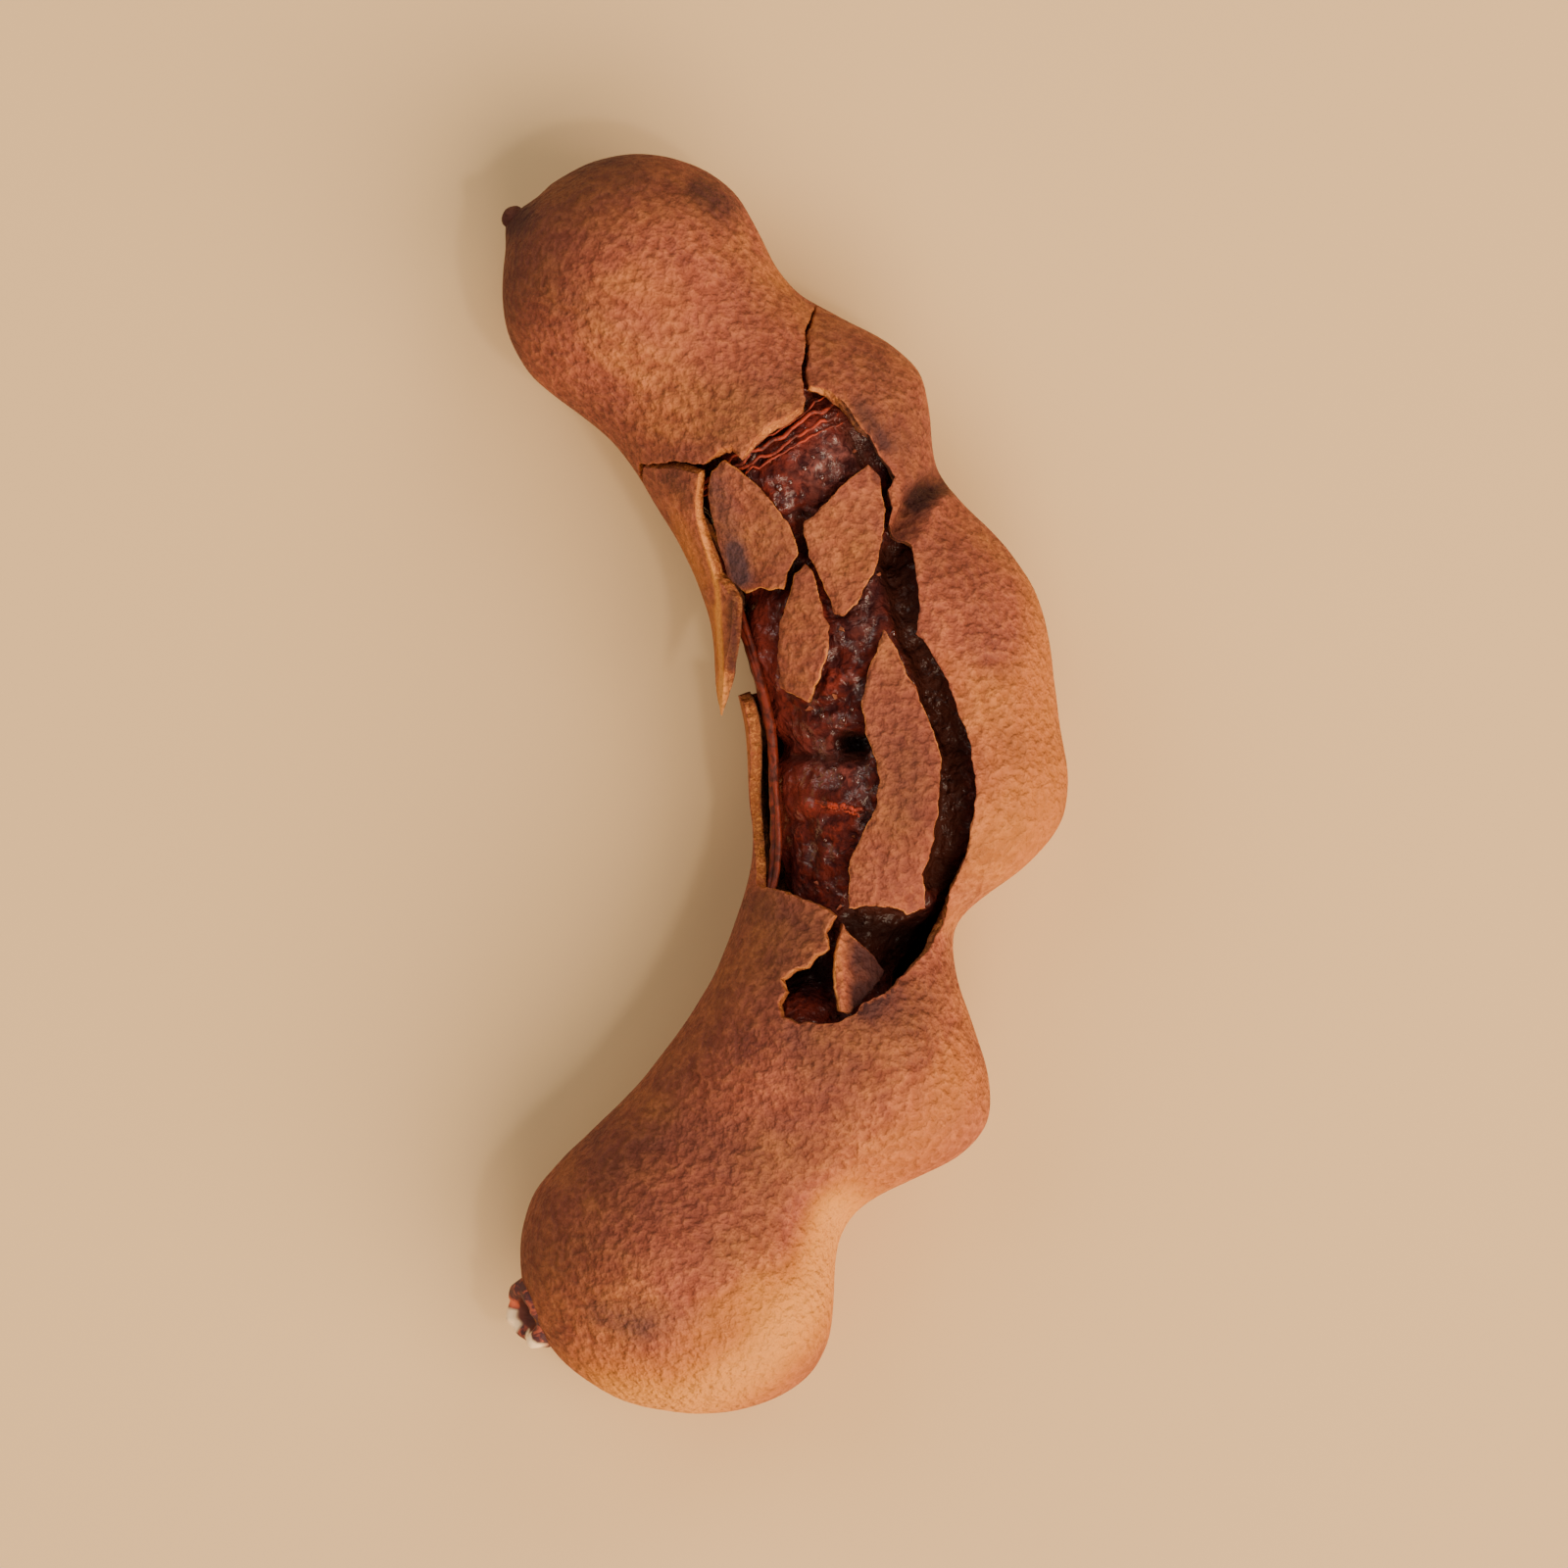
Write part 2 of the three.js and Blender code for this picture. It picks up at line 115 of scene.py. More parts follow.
@dataclass(frozen=True)
class Section:
    """How far the skin stands from the spine at a lobe or a waist."""

    along: float
    out: float
    hollow: float
    up: float
    down: float


@dataclass
class Skin:
    """The pod's outer surface, swept along its spine.

    The spine is one cubic curve in plan, the sections say how wide the pod is, and both ends are
    closed by domes.
    """

    axis_height: float
    spine: Plan = ((-21.2, 51.9), (22.7, 8.6), (13.9, -6.4), (-17.1, -52.3))
    beak_dome: float = 12.0
    stalk_dome: float = 13.0
    sections: tuple[Section, ...] = (
        Section(0.0, 12.4, 11.4, 9.8, 11.0),
        Section(11.5, 12.5, 11.5, 10.2, 11.45),
        Section(20.8, 10.9, 10.1, 8.9, 10.0),
        Section(31.5, 15.1, 10.7, 10.7, 10.8),
        Section(39.2, 12.0, 11.4, 9.6, 10.3),
        Section(49.0, 15.7, 12.0, 11.2, 11.0),
        Section(56.5, 15.6, 11.9, 11.0, 11.3),
        Section(63.2, 16.0, 11.6, 11.1, 11.0),
        Section(72.4, 8.9, 10.0, 8.8, 9.6),
        Section(84.6, 17.95, 9.4, 11.2, 10.8),
        Section(96.6, 11.7, 10.4, 9.6, 10.2),
        Section(107.0, 15.9, 12.8, 11.2, 11.45),
        Section(120.9, 15.3, 12.9, 10.8, 11.2),
    )
    samples: int = 1200
    length: float = field(init=False)
    points: Array = field(init=False)
    outward: Array = field(init=False)

    def __post_init__(self) -> None:
        """Samples the spine at even steps of its length."""
        t = np.linspace(0.0, 1.0, 4 * self.samples)[:, None]
        a, b, c, d = (np.array(p) for p in self.spine)
        curve = (1 - t) ** 3 * a + 3 * (1 - t) ** 2 * t * b + 3 * (1 - t) * t**2 * c + t**3 * d
        self.length = float(run_length(curve)[-1])
        self.points = evenly(curve, self.samples + 1)
        self.outward = leftward(unit(np.gradient(self.points, axis=0)))

    def reach(self, name: str, along: Array) -> Array:
        """Gives one reach of the sections on a smooth curve through all of them.

        Args:
            name: The field of Section to follow.
            along: Places along the spine.

        Returns:
            The reach at each place.
        """
        at = np.array([s.along for s in self.sections])
        at[-1] = self.length
        value = np.array([getattr(s, name) for s in self.sections])
        before = np.maximum(np.arange(len(at)) - 1, 0)
        after = np.minimum(np.arange(len(at)) + 1, len(at) - 1)
        slope = (value[after] - value[before]) / (at[after] - at[before])
        i = np.clip(np.searchsorted(at, along, side="right") - 1, 0, len(at) - 2)
        width = at[i + 1] - at[i]
        t = held((along - at[i]) / width)
        return (
            (2 * t**3 - 3 * t**2 + 1) * value[i]
            + (t**3 - 2 * t**2 + t) * width * slope[i]
            + (3 * t**2 - 2 * t**3) * value[i + 1]
            + (t**3 - t**2) * width * slope[i + 1]
        )

    def dome(self, along: Array, depth: Array | float) -> Array:
        """Gives the rounding of both ends: 0 at the pole, 1 where the dome meets the body."""
        factor = np.ones_like(along)
        for distance, size in ((along, self.beak_dome), (self.length - along, self.stalk_dome)):
            t = held((distance - depth) / (size - depth))
            factor = factor * np.sqrt(1 - (1 - t) ** 2)
        return factor

    def place(
        self, along: Array, around: Array | float, depth: Array | float,
        keep: Array | float = 1.0, hollow_depth: Array | float | None = None,
    ) -> Array:
        """Gives points under the skin.

        Args:
            along: Places along the spine.
            around: Turns round the spine, in radians.
            depth: Depths under the skin.
            keep: Share of the section that is kept, for what is pinched.
            hollow_depth: Depths on the hollow side, where they differ.

        Returns:
            One row of x, y, z for each point.
        """
        along, around = np.broadcast_arrays(np.asarray(along, float), np.asarray(around, float))
        depth = np.broadcast_to(depth, along.shape)
        hollow_depth = depth if hollow_depth is None else np.broadcast_to(hollow_depth, along.shape)
        index = held(along / self.length) * self.samples
        grid = np.arange(self.samples + 1)
        centre, outward = (
            np.stack([np.interp(index, grid, line[:, k]) for k in (0, 1)], axis=-1)
            for line in (self.points, self.outward)
        )
        c, s = np.cos(around), np.sin(around)
        scale = self.dome(along, depth) * keep
        bulging = self.reach("out", along) - depth
        level = np.where(c > 0, bulging, self.reach("hollow", along) - hollow_depth)
        rise = np.where(s > 0, self.reach("up", along), self.reach("down", along)) - depth
        plan = centre + outward * (c * level * scale)[..., None]
        z = np.maximum(self.axis_height + s * rise * scale, np.maximum(depth, 0.0))
        return np.concatenate([plan, z[..., None]], axis=-1)

    def locate(self, plan: Plan) -> Array:
        """Finds the places on the skin under points of the plan.

        Args:
            plan: Points as (x, y), or (x, y, -1) for one under the pod.

        Returns:
            One row of (along, around * ROLL_RADIUS) for each point.
        """
        xy = np.array([p[:2] for p in plan], float)
        underneath = np.array([len(p) > 2 for p in plan])
        gap = np.linalg.norm(xy[:, None, :] - self.points[None, :, :], axis=2)
        nearest = gap.argmin(axis=1)
        along = nearest / self.samples * self.length
        level = ((xy - self.points[nearest]) * self.outward[nearest]).sum(axis=1)
        reach = np.where(level > 0, self.reach("out", along), self.reach("hollow", along))
        around = np.arccos(np.clip(level / (reach * self.dome(along, 0.0)), -1.0, 1.0))
        around = np.where(underneath, 2 * math.pi - around, around)
        return np.stack([along, around * ROLL_RADIUS], axis=1)

    def grid(self, depth: float, dome_rings: int, step: float, sides: int) -> tuple[Array, Array]:
        """Spaces rings of points along the pod: closer over the two domes, even between them.

        Args:
            depth: Depth of the surface that the rings are on.
            dome_rings: Rings on each dome.
            step: Distance between rings elsewhere.
            sides: Points in each ring.

        Returns:
            The points' places along the spine, and their turns round it.
        """
        turn = 1 - np.cos(np.arange(1, dome_rings) / dome_rings * math.pi / 2)
        body_end = self.length - self.stalk_dome
        body = np.linspace(self.beak_dome, body_end, round((body_end - self.beak_dome) / step) + 1)
        beak = depth + (self.beak_dome - depth) * turn
        stalk = self.length - depth - (self.stalk_dome - depth) * turn[::-1]
        places = np.concatenate([beak, body, stalk])
        return np.repeat(places, sides), np.tile(full_turn(sides), len(places))

    def closed(self, rows: Array, sides: int, depth: float) -> Mesh:
        """Closes the rings of a surface at that depth over the pod's two ends."""
        poles = self.place(np.array([depth, self.length - depth]), 0.0, depth)
        return closed_grid(sides, poles[0], rows, poles[1])


# ---------------------------------------------------------------- outlines in plan

# The break in the husk. A third value puts a point under the pod.
BREAK: Plan = [
    (-5.5, 29.2), (-4.2, 29.7), (-3.4, 28.5), (-2.6, 29.8), (-1.4, 31.3), (0.5, 32.3), (2.0, 33.1),
    (2.2, 35.2), (3.8, 34.8), (5.5, 33.7), (6.7, 32.1), (8.4, 29.8), (9.4, 28.3), (10.1, 27.1),
    (9.4, 25.9), (9.8, 24.3), (9.5, 22.9), (10.3, 21.9), (11.5, 20.9), (12.1, 16.9), (12.0, 13.3),
    (13.7, 10.8), (15.6, 6.5), (16.6, 3.6), (16.9, 1.2), (16.6, -3.7), (15.8, -7.3), (15.0, -9.2),
    (14.6, -12.2), (13.3, -14.1), (11.0, -16.3), (7.4, -19.0), (5.5, -20.5), (3.3, -20.8),
    (1.3, -20.7), (0.2, -20.1), (-0.3, -19.0), (0.5, -17.9), (-0.1, -16.8), (1.3, -15.9),
    (2.3, -15.6), (3.1, -14.7), (4.2, -14.2), (3.9, -12.8), (4.8, -11.4), (4.1, -10.8),
    (2.1, -10.0), (-0.2, -9.1), (-2.2, -8.8), (-2.6, -3.6), (-2.6, 2.1), (-2.75, 5.2),
    (-3.05, 6.8), (-3.6, 8.0), (-0.4, 8.4, -1), (-2.8, 14.4, -1), (-5.4, 20.5, -1),
    (-9.0, 26.2, -1), (-12.4, 28.4), (-9.3, 28.4), (-6.7, 28.1),
]


@dataclass(frozen=True)
class Crack:
    """A hairline crack that runs on from the break: its route, and its widths at both ends."""

    route: Plan
    wide: float
    narrow: float
    seed: float
    step: float = 0.3
    stray: float = 0.12  # how far it wanders off its route
    wave: float = 0.9

    def outline(self, skin: Skin) -> Array:
        """Gives the crack's outline on a skin, unrolled."""
        route = skin.locate(self.route)
        middle = evenly(route, round(run_length(route)[-1] / self.step))
        side = leftward(unit(np.gradient(middle, axis=0)))
        stray = self.stray * wander(len(middle), self.step, self.wave, self.seed)
        middle = middle + side * stray[:, None]
        half = side * np.linspace(self.wide, self.narrow, len(middle))[:, None] / 2
        return np.vstack([middle + half, (middle - half)[::-1]])


CRACKS = (Crack([(2.5, 34.0), (2.2, 36.2), (2.7, 38.4), (2.5, 40.0), (3.1, 42.6)], 0.6, 0.22, 60.0),)


@dataclass(frozen=True)
class FlakePlan:
    """A flake of husk: its outline in plan, how deep it has sunk and how it has tipped."""

    name: str
    outline: Plan
    sink: float
    tip: tuple[float, float, float]


FLAKES = (
    FlakePlan(
        "flake_hollow_side",
        [
            (-6.3, 27.3), (-5.2, 28.4), (-3.0, 26.8), (-1.3, 25.1), (0.4, 23.0), (1.2, 21.5),
            (1.3, 20.2), (0.4, 18.6), (0.0, 17.1), (-2.2, 17.1), (-3.4, 16.6), (-5.1, 18.1),
            (-5.9, 20.8), (-6.6, 23.9), (-6.7, 25.9),
        ],
        sink=0.6, tip=(2, 3, 0),
    ),
    FlakePlan(
        "flake_middle",
        [
            (8.0, 28.3), (8.95, 27.3), (9.1, 25.9), (9.5, 24.3), (9.25, 22.5), (8.6, 19.3), (7.4, 17.1),
            (6.7, 16.0), (5.5, 14.8), (4.7, 15.0), (4.0, 16.9), (3.2, 18.7), (2.5, 20.0), (2.1, 22.0),
            (2.1, 22.8), (3.6, 24.3), (5.5, 26.3),
        ],
        sink=0.5, tip=(3, -2, 0),
    ),
    FlakePlan(
        "flake_narrow",
        [
            (2.0, 19.2), (2.7, 18.6), (3.1, 16.9), (3.5, 14.6), (4.1, 13.9), (3.6, 11.1), (2.6, 8.6),
            (2.0, 7.2), (0.9, 7.8), (-0.6, 8.4), (-0.8, 11.1), (-0.5, 13.8), (0.3, 15.8), (0.7, 17.3),
            (1.1, 18.4),
        ],
        sink=0.8, tip=(-1, 2, 0),
    ),
    FlakePlan(
        "flake_long",
        [
            (9.0, 13.7), (10.3, 11.6), (11.0, 9.9), (12.5, 7.2), (13.5, 4.8), (14.2, 2.4), (14.1, -0.3),
            (13.7, -3.2), (13.5, -5.6), (12.8, -7.8), (13.2, -9.7), (13.3, -10.9), (11.7, -11.3),
            (9.8, -10.6), (7.4, -10.5), (6.0, -10.6), (5.9, -8.5), (5.9, -6.6), (7.1, -4.1),
            (8.2, -2.0), (8.5, 0.5), (8.2, 2.2), (7.4, 4.3), (6.9, 7.2), (7.6, 9.9), (8.4, 12.3),
        ],
        sink=0.6, tip=(0, 2, 0),
    ),
    FlakePlan(
        "flake_fallen",
        [
            (5.6, -12.1), (4.6, -14.6), (4.4, -17.6), (4.6, -19.8), (5.7, -19.9), (8.0, -18.3),
            (10.4, -16.4), (9.0, -14.9), (6.5, -13.1),
        ],
        sink=1.2, tip=(0, 24, 0),
    ),
)

SPLINTER: Plan = [
    (-11.9, 28.0), (-9.3, 27.8), (-7.1, 27.3), (-7.4, 25.1), (-7.5, 23.5), (-6.8, 21.2),
    (-5.8, 18.3), (-4.85, 17.45), (-3.9, 16.1), (-3.75, 14.6), (-3.6, 13.1), (-3.45, 10.5), (-3.2, 9.4),
    (-2.85, 8.0), (-2.3, 6.2),
    (-4.0, 9.4), (-5.1, 14.6, -1), (-7.9, 21.0, -1), (-10.7, 26.2, -1),
]


# ---------------------------------------------------------------- marks, seen in plan


@dataclass(frozen=True)
class Mark:
    """A soft-edged line on the upper side: its route in plan, its half-width and its strength.

    A hardness of 1 fades out softly all the way, and a larger one drops at the half-width.
    """

    route: Plan
    width: float
    strength: float
    hardness: int = 1

    def at(self, xy: Array) -> Array:
        """Gives the mark's strength at points of the plan."""
        nearest = np.full(len(xy), np.inf)
        ends = self.route[1:] or self.route
        for start, end in zip(self.route, ends):
            a, b = np.array(start, float), np.array(end, float)
            run = max(float(((b - a) ** 2).sum()), 1e-9)
            t = np.clip(((xy - a) @ (b - a)) / run, 0.0, 1.0)
            nearest = np.minimum(nearest, np.linalg.norm(xy - (a + t[:, None] * (b - a)), axis=1))
        return self.strength * np.exp(-((nearest / self.width) ** (2 * self.hardness)))


def marked(marks: tuple[Mark, ...], points: Array, share: Array | float = 1.0) -> Array:
    """Adds up marks at points.

    Args:
        marks: The marks to add.
        points: Rows of x, y, z.
        share: How much of the marks each point takes, for what shows on the upper side only.

    Returns:
        The sum at each point.
    """
    return sum(mark.at(points[:, :2]) for mark in marks) * share


# Dents in the husk, in millimetres: the groove of the second waist with the lip below it, and
# shallow grooves beside the break.
DENTS = (
    Mark([(15.6, 28.0), (13.6, 26.5), (12.0, 24.9), (10.9, 22.6)], 1.0, -1.5, hardness=2),
    Mark([(13.5, 24.6), (12.6, 23.3), (11.9, 21.4)], 0.8, 0.6),
    Mark([(14.2, 25.5), (13.0, 24.5), (11.7, 23.2), (11.2, 22.0)], 0.38, 0.3, hardness=2),
    Mark([(2.9, 41.5), (2.3, 37.0)], 1.3, -0.35),
    Mark([(7.0, 32.2), (9.0, 28.8)], 1.3, -0.4),
    Mark([(15.0, -13.2), (12.0, -16.0)], 1.6, -0.2),
)

# Where the skin is darker (below 0) or lighter (above 0) than its own brown. Most of this is
# painted light and shade: painted light on the right and lower sides, and painted shade on the
# left and upper sides, in the second waist's crease, beside the break and on the fallen flake.
# The dark upper and left edges are partly the skin's own plum-brown as well.
TONES = (
    Mark([(-23.8, 50.4)], 1.9, -0.9),
    Mark([(-25.0, 43.0), (-23.8, 51.0), (-17.0, 56.6)], 4.8, -1.15),
    Mark([(-17.0, 56.8), (-8.0, 57.0)], 2.2, -0.7),
    Mark([(-6.8, 52.2), (-4.6, 50.6)], 1.7, -0.7),
    Mark([(-18.5, 48.5), (-16.5, 51.0), (-12.0, 52.8), (-7.0, 51.5)], 3.6, -0.5),
    Mark([(-13.0, 53.0), (-6.0, 52.0)], 2.0, -0.25),
    Mark([(-20.0, 44.0), (-16.5, 40.5)], 2.4, -0.28),
    Mark([(-12.5, 45.0)], 4.0, 0.12),
    Mark([(-5.0, 33.0), (2.0, 34.5)], 3.0, -0.5),
    Mark([(13.0, 21.5), (17.5, 18.0), (18.0, 13.5)], 3.2, -0.55),
    Mark([(10.8, 29.5), (11.6, 26.5)], 1.5, -0.4),
    Mark([(10.0, 36.5), (12.5, 31.0)], 2.2, -0.28),
    Mark([(2.6, -12.8), (0.0, -15.5)], 2.2, -0.45),
    Mark([(10.5, -19.5), (14.5, -16.0)], 2.8, -0.65),
    Mark([(17.5, -10.5), (19.0, -16.0), (19.5, -22.0)], 2.4, -0.5),
    Mark([(-15.0, -33.5), (-9.0, -30.0), (-4.0, -31.0)], 2.8, -0.42),
    Mark([(-5.0, -41.0), (1.0, -36.5), (2.5, -33.0)], 3.2, -0.52),
    Mark([(-20.0, -45.5), (-16.5, -50.5), (-11.0, -52.0)], 2.6, 0.25),
    Mark([(-2.5, 49.5), (0.2, 44.5)], 1.6, 0.4),
    Mark([(-9.4, 26.8), (-8.2, 25.4)], 1.1, -0.6),
    Mark([(-17.0, 33.5), (-9.5, 26.5)], 2.6, -0.5),
    Mark([(-3.2, -9.0), (-7.5, -19.0), (-15.5, -30.0), (-24.0, -40.0)], 6.6, -0.74),
    Mark([(2.0, -22.0), (13.0, -20.0)], 2.6, -0.5),
    Mark([(1.3, -19.5), (3.4, -28.0), (-8.0, -36.0), (-19.0, -43.0)], 4.2, -0.5),
    Mark([(-16.0, -47.0), (-12.0, -47.6), (-9.0, -46.5)], 1.9, -0.35),
    Mark([(-7.5, -47.0), (-2.5, -43.5)], 2.2, 0.5),
    Mark([(-8.5, 28.8), (-5.0, 30.2)], 1.5, -0.45),
    Mark([(13.0, 40.0), (16.5, 36.0), (16.4, 31.0)], 2.6, 0.7),
    Mark([(-3.2, 48.0), (-3.0, 42.0)], 3.0, -0.35),
    Mark([(5.0, 40.0), (9.0, 34.5), (10.5, 31.0)], 3.0, -0.55),
    Mark([(5.1, -26.4), (8.0, -24.0)], 3.0, -0.3),
    Mark([(-1.0, 26.0), (-1.0, 19.0)], 2.2, -0.42),
    Mark([(9.8, 8.0), (10.2, -7.0)], 3.0, -0.35),
    Mark([(24.0, 17.0), (26.0, 3.0), (22.0, -9.0), (17.0, -12.5)], 4.5, 0.5),
    Mark([(16.0, -20.0), (17.0, -25.0), (11.5, -31.5), (5.4, -36.5)], 3.4, 0.36),
    Mark([(4.6, -38.0), (3.4, -44.0), (-2.0, -50.5), (-9.0, -55.4), (-15.0, -55.0)], 3.3, 1.1),
    # Painted shade in the groove of the second waist, above its lip.
    Mark([(15.0, 27.5), (13.4, 26.4), (12.2, 25.3)], 1.6, -0.9, hardness=2),
    Mark([(14.6, 26.7), (13.2, 25.7)], 0.7, -0.6),
    Mark([(12.2, 25.0), (11.0, 23.6), (10.4, 21.8)], 1.0, -0.7, hardness=2),
    # Painted shade where the skin bends down into the break.
    Mark([(7.0, 33.0), (8.2, 31.2), (9.0, 29.8)], 1.1, -1.1),
    Mark([(8.5, 27.0)], 0.6, -0.9),
    # Painted light on the skin beside the left wall, then a painted highlight on the fallen flake's
    # left edge and painted shade over its right side.
    Mark([(-2.9, 7.0), (-2.4, 0.0), (-2.4, -8.6)], 1.1, 0.4),
    Mark([(5.0, -13.4), (4.9, -19.4)], 0.7, 0.9),
    Mark([(6.7, -14.0), (6.5, -18.6)], 0.9, -0.6),
    Mark([(8.0, -15.0), (9.2, -17.0), (7.4, -18.8)], 1.6, -1.3),
    Mark([(19.0, 10.0), (19.5, 1.0), (17.5, -6.0)], 3.4, 0.2),
    Mark([(14.5, 9.0), (15.5, 15.0)], 2.2, 0.2),
    Mark([(5.0, 23.4), (4.6, 19.4)], 1.6, 0.15),
    Mark([(11.4, 2.5), (11.4, -2.5)], 2.2, -0.42),
    Mark([(-1.5, -10.5), (3.5, -12.5)], 2.0, -0.4),
    Mark([(-3.2, 16.9), (0.0, 17.3)], 0.35, 0.9),
)

# Painted light along the splinter's upper rim and on its lit face (above 0), and painted shade
# on its inner face where it turns up (below 0).
SPLINTER_TONES = (
    Mark(
        [
            (-6.9, 27.4), (-7.3, 25.0), (-7.0, 23.0), (-6.15, 19.8), (-5.5, 17.3), (-5.35, 13.5),
            (-5.1, 10.3), (-5.1, 6.4),
        ],
        0.25, 0.95, hardness=2,
    ),
    Mark([(-5.7, 15.5), (-5.55, 11.5), (-5.2, 7.0)], 0.5, 0.45),
    Mark([(-9.6, 25.0), (-6.9, 18.0)], 0.9, 0.42),
    Mark([(-4.2, 16.8), (-4.1, 13.5), (-4.3, 10.5)], 0.5, -0.9, hardness=2),
    Mark([(-3.8, 15.8), (-3.8, 13.0), (-4.2, 10.5)], 0.7, -0.5),
    Mark([(-5.0, 8.6), (-5.2, 6.2)], 0.8, 0.5),
)

# The same for the broken wall: painted light where light falls on it (above 0), and painted
# shade where it lies in shade (below 0).
WALL_TONES = (
    Mark([(-4.8, 29.5), (0.4, 32.2)], 0.9, 0.3),
    Mark([(2.4, 35.0), (5.2, 34.0)], 0.8, 0.8),
    Mark([(-2.9, 6.0), (-2.4, 0.0), (-2.4, -8.6)], 1.1, 0.1),
    Mark([(0.0, -16.6), (3.6, -14.6)], 1.0, 0.4),
    Mark([(-3.6, 9.0), (-1.0, 9.3), (-2.8, 14.4), (-5.4, 20.5)], 1.2, -1.4),
    Mark([(5.6, 33.7), (7.2, 31.4), (9.9, 26.8), (10.1, 21.7), (11.9, 16.0)], 1.1, -1.4),
    Mark([(11.9, 16.0), (16.9, 1.2), (15.8, -7.3)], 1.0, -0.4),
    Mark([(14.6, -12.2), (7.4, -19.0), (1.6, -20.6)], 0.9, -0.7),
)

# The plum bruise on the husk near the stalk.
STALK_BRUISES = (
    Mark([(-15.8, -46.0), (-12.2, -47.4)], 1.6, 0.46),
    Mark([(-11.5, -46.6), (-6.5, -46.2)], 2.0, 0.3),
)

# The grey-purple bruise on the flake on the hollow side.
BRUISES = (
    Mark([(-5.8, 26.4), (-4.6, 22.6), (-3.4, 18.4)], 1.4, 0.62),
    Mark([(-4.0, 20.6), (-3.4, 18.2)], 0.8, 0.85),
)

# Where the broken edge slopes and shows its wall from above (above 0), or is undercut (below 0).
SLOPES = (
    Mark([(-5.0, 29.4), (-2.0, 31.0), (1.0, 32.8)], 1.2, 1.4),
    Mark([(2.8, 35.2), (5.2, 33.9)], 0.9, 0.35),
    Mark([(8.4, 29.8), (10.1, 27.1), (9.4, 25.9), (9.8, 24.3), (9.5, 22.9)], 1.0, -1.5, hardness=2),
    Mark(
        [(11.8, 20.0), (12.1, 13.3), (15.6, 6.5), (16.9, 1.2), (16.6, -3.7), (14.8, -11.0)],
        1.4, -1.6, hardness=2,
    ),
    Mark([(13.6, -13.6), (7.4, -19.0), (5.5, -20.5)], 1.2, -0.9, hardness=2),
    Mark([(0.0, -15.8), (3.0, -14.2)], 1.2, 0.4),
    Mark([(-2.8, 6.6), (-2.4, -8.8)], 0.8, 0.5),
)

# Relief of the pulp, in millimetres: furrows between what the seeds push up, and swellings.
FURROWS = (
    Mark([(10.4, 20.0), (11.6, 13.5), (13.6, 9.0), (15.3, 3.5), (15.4, -2.0), (14.4, -8.0)], 1.5, -1.9),
    Mark([(8.0, -13.0), (12.0, -14.5)], 3.4, -1.7),
    Mark([(-0.2, 2.4), (2.6, 2.5), (7.4, 2.3)], 0.42, -0.8),
    Mark([(5.6, 3.7), (6.9, 3.6)], 0.95, -3.2, hardness=4),
    Mark([(1.6, 23.6), (1.9, 20.5)], 0.7, -0.9),
    Mark([(4.4, 19.0), (5.0, 15.4)], 0.6, -0.8),
    Mark([(-1.4, 30.6), (0.5, 31.8), (3.6, 34.6)], 0.6, -0.9),
    Mark([(5.6, 31.6), (8.0, 28.6)], 0.9, -0.9),
    Mark([(0.6, 27.6), (4.4, 29.6)], 2.0, 0.5),
    Mark([(-0.6, 26.0), (0.6, 24.4)], 1.1, 0.5),
    Mark([(2.2, -1.7), (4.4, -2.1), (6.6, -1.8)], 0.34, 0.34),
    Mark([(1.0, -3.4), (3.2, -3.0)], 0.3, -0.3),
    Mark([(3.0, -1.4), (3.6, -6.0)], 2.2, 0.35),
    Mark([(3.6, 5.6), (3.8, 9.6)], 1.6, 0.35),
    Mark([(0.8, 7.0), (3.2, 6.4), (5.4, 7.4)], 0.35, -0.35),
    Mark([(1.4, -4.6), (1.2, -8.6)], 0.3, -0.3),
    Mark([(2.9, -4.4), (2.8, -8.8)], 0.3, -0.3),
    Mark([(4.4, -4.6), (4.2, -9.6)], 0.3, -0.3),
)

# Where the pulp reaches further out to the hollow side, in millimetres.
FILLS = (Mark([(-2.2, 19.0), (-0.6, 9.0), (0.0, 0.0), (-0.3, -9.0)], 1.9, 1.5),)

# Where the pulp is redder (above 0) or darker (below 0). Redder is mostly pulp that is thin,
# partly painted light on a ridge and on the floor of the lower hole; darker is painted shade in
# its holes, its gaps and under the husk's edges, down to black in the deepest.
PULP_TONES = (
    Mark([(-2.4, 19.0), (-0.8, 8.0), (-0.4, -8.8)], 1.3, 0.9),
    Mark([(1.0, 4.0), (1.6, -1.0)], 2.2, 0.6),
    Mark([(3.0, 33.4), (5.2, 31.6)], 1.2, 0.5),
    Mark([(0.2, 29.0), (2.6, 31.0)], 0.9, 0.5),
    Mark([(2.4, -1.8), (6.6, -1.9)], 0.5, 1.0),
    Mark([(4.0, 12.0), (7.0, 15.0)], 1.6, -0.5),
    Mark([(8.5, 17.0), (10.6, 18.8)], 1.6, -0.8),
    Mark([(8.4, 31.0), (9.6, 28.4)], 1.3, -1.1),
    Mark([(5.6, 3.7), (6.9, 3.6)], 0.8, -2.0, hardness=3),
    Mark([(6.5, -12.0), (11.5, -13.2)], 1.9, -1.5),
    Mark([(1.0, -16.6), (3.2, -16.2)], 1.7, -1.7),
    Mark([(0.6, -19.2), (3.6, -19.8)], 1.1, 0.55),
)

# Painted sheen on the pulp: mauve-grey patches where light would lie on its wet surface.
PAINTED_SHEENS = (
    Mark([(3.4, 27.6), (7.4, 30.6)], 2.2, 0.7),
    Mark([(8.0, 20.0), (7.0, 14.5)], 1.5, 0.5),
    Mark([(3.0, 3.0), (6.0, 1.0)], 1.8, 0.4),
)


# ---------------------------------------------------------------- mesh making


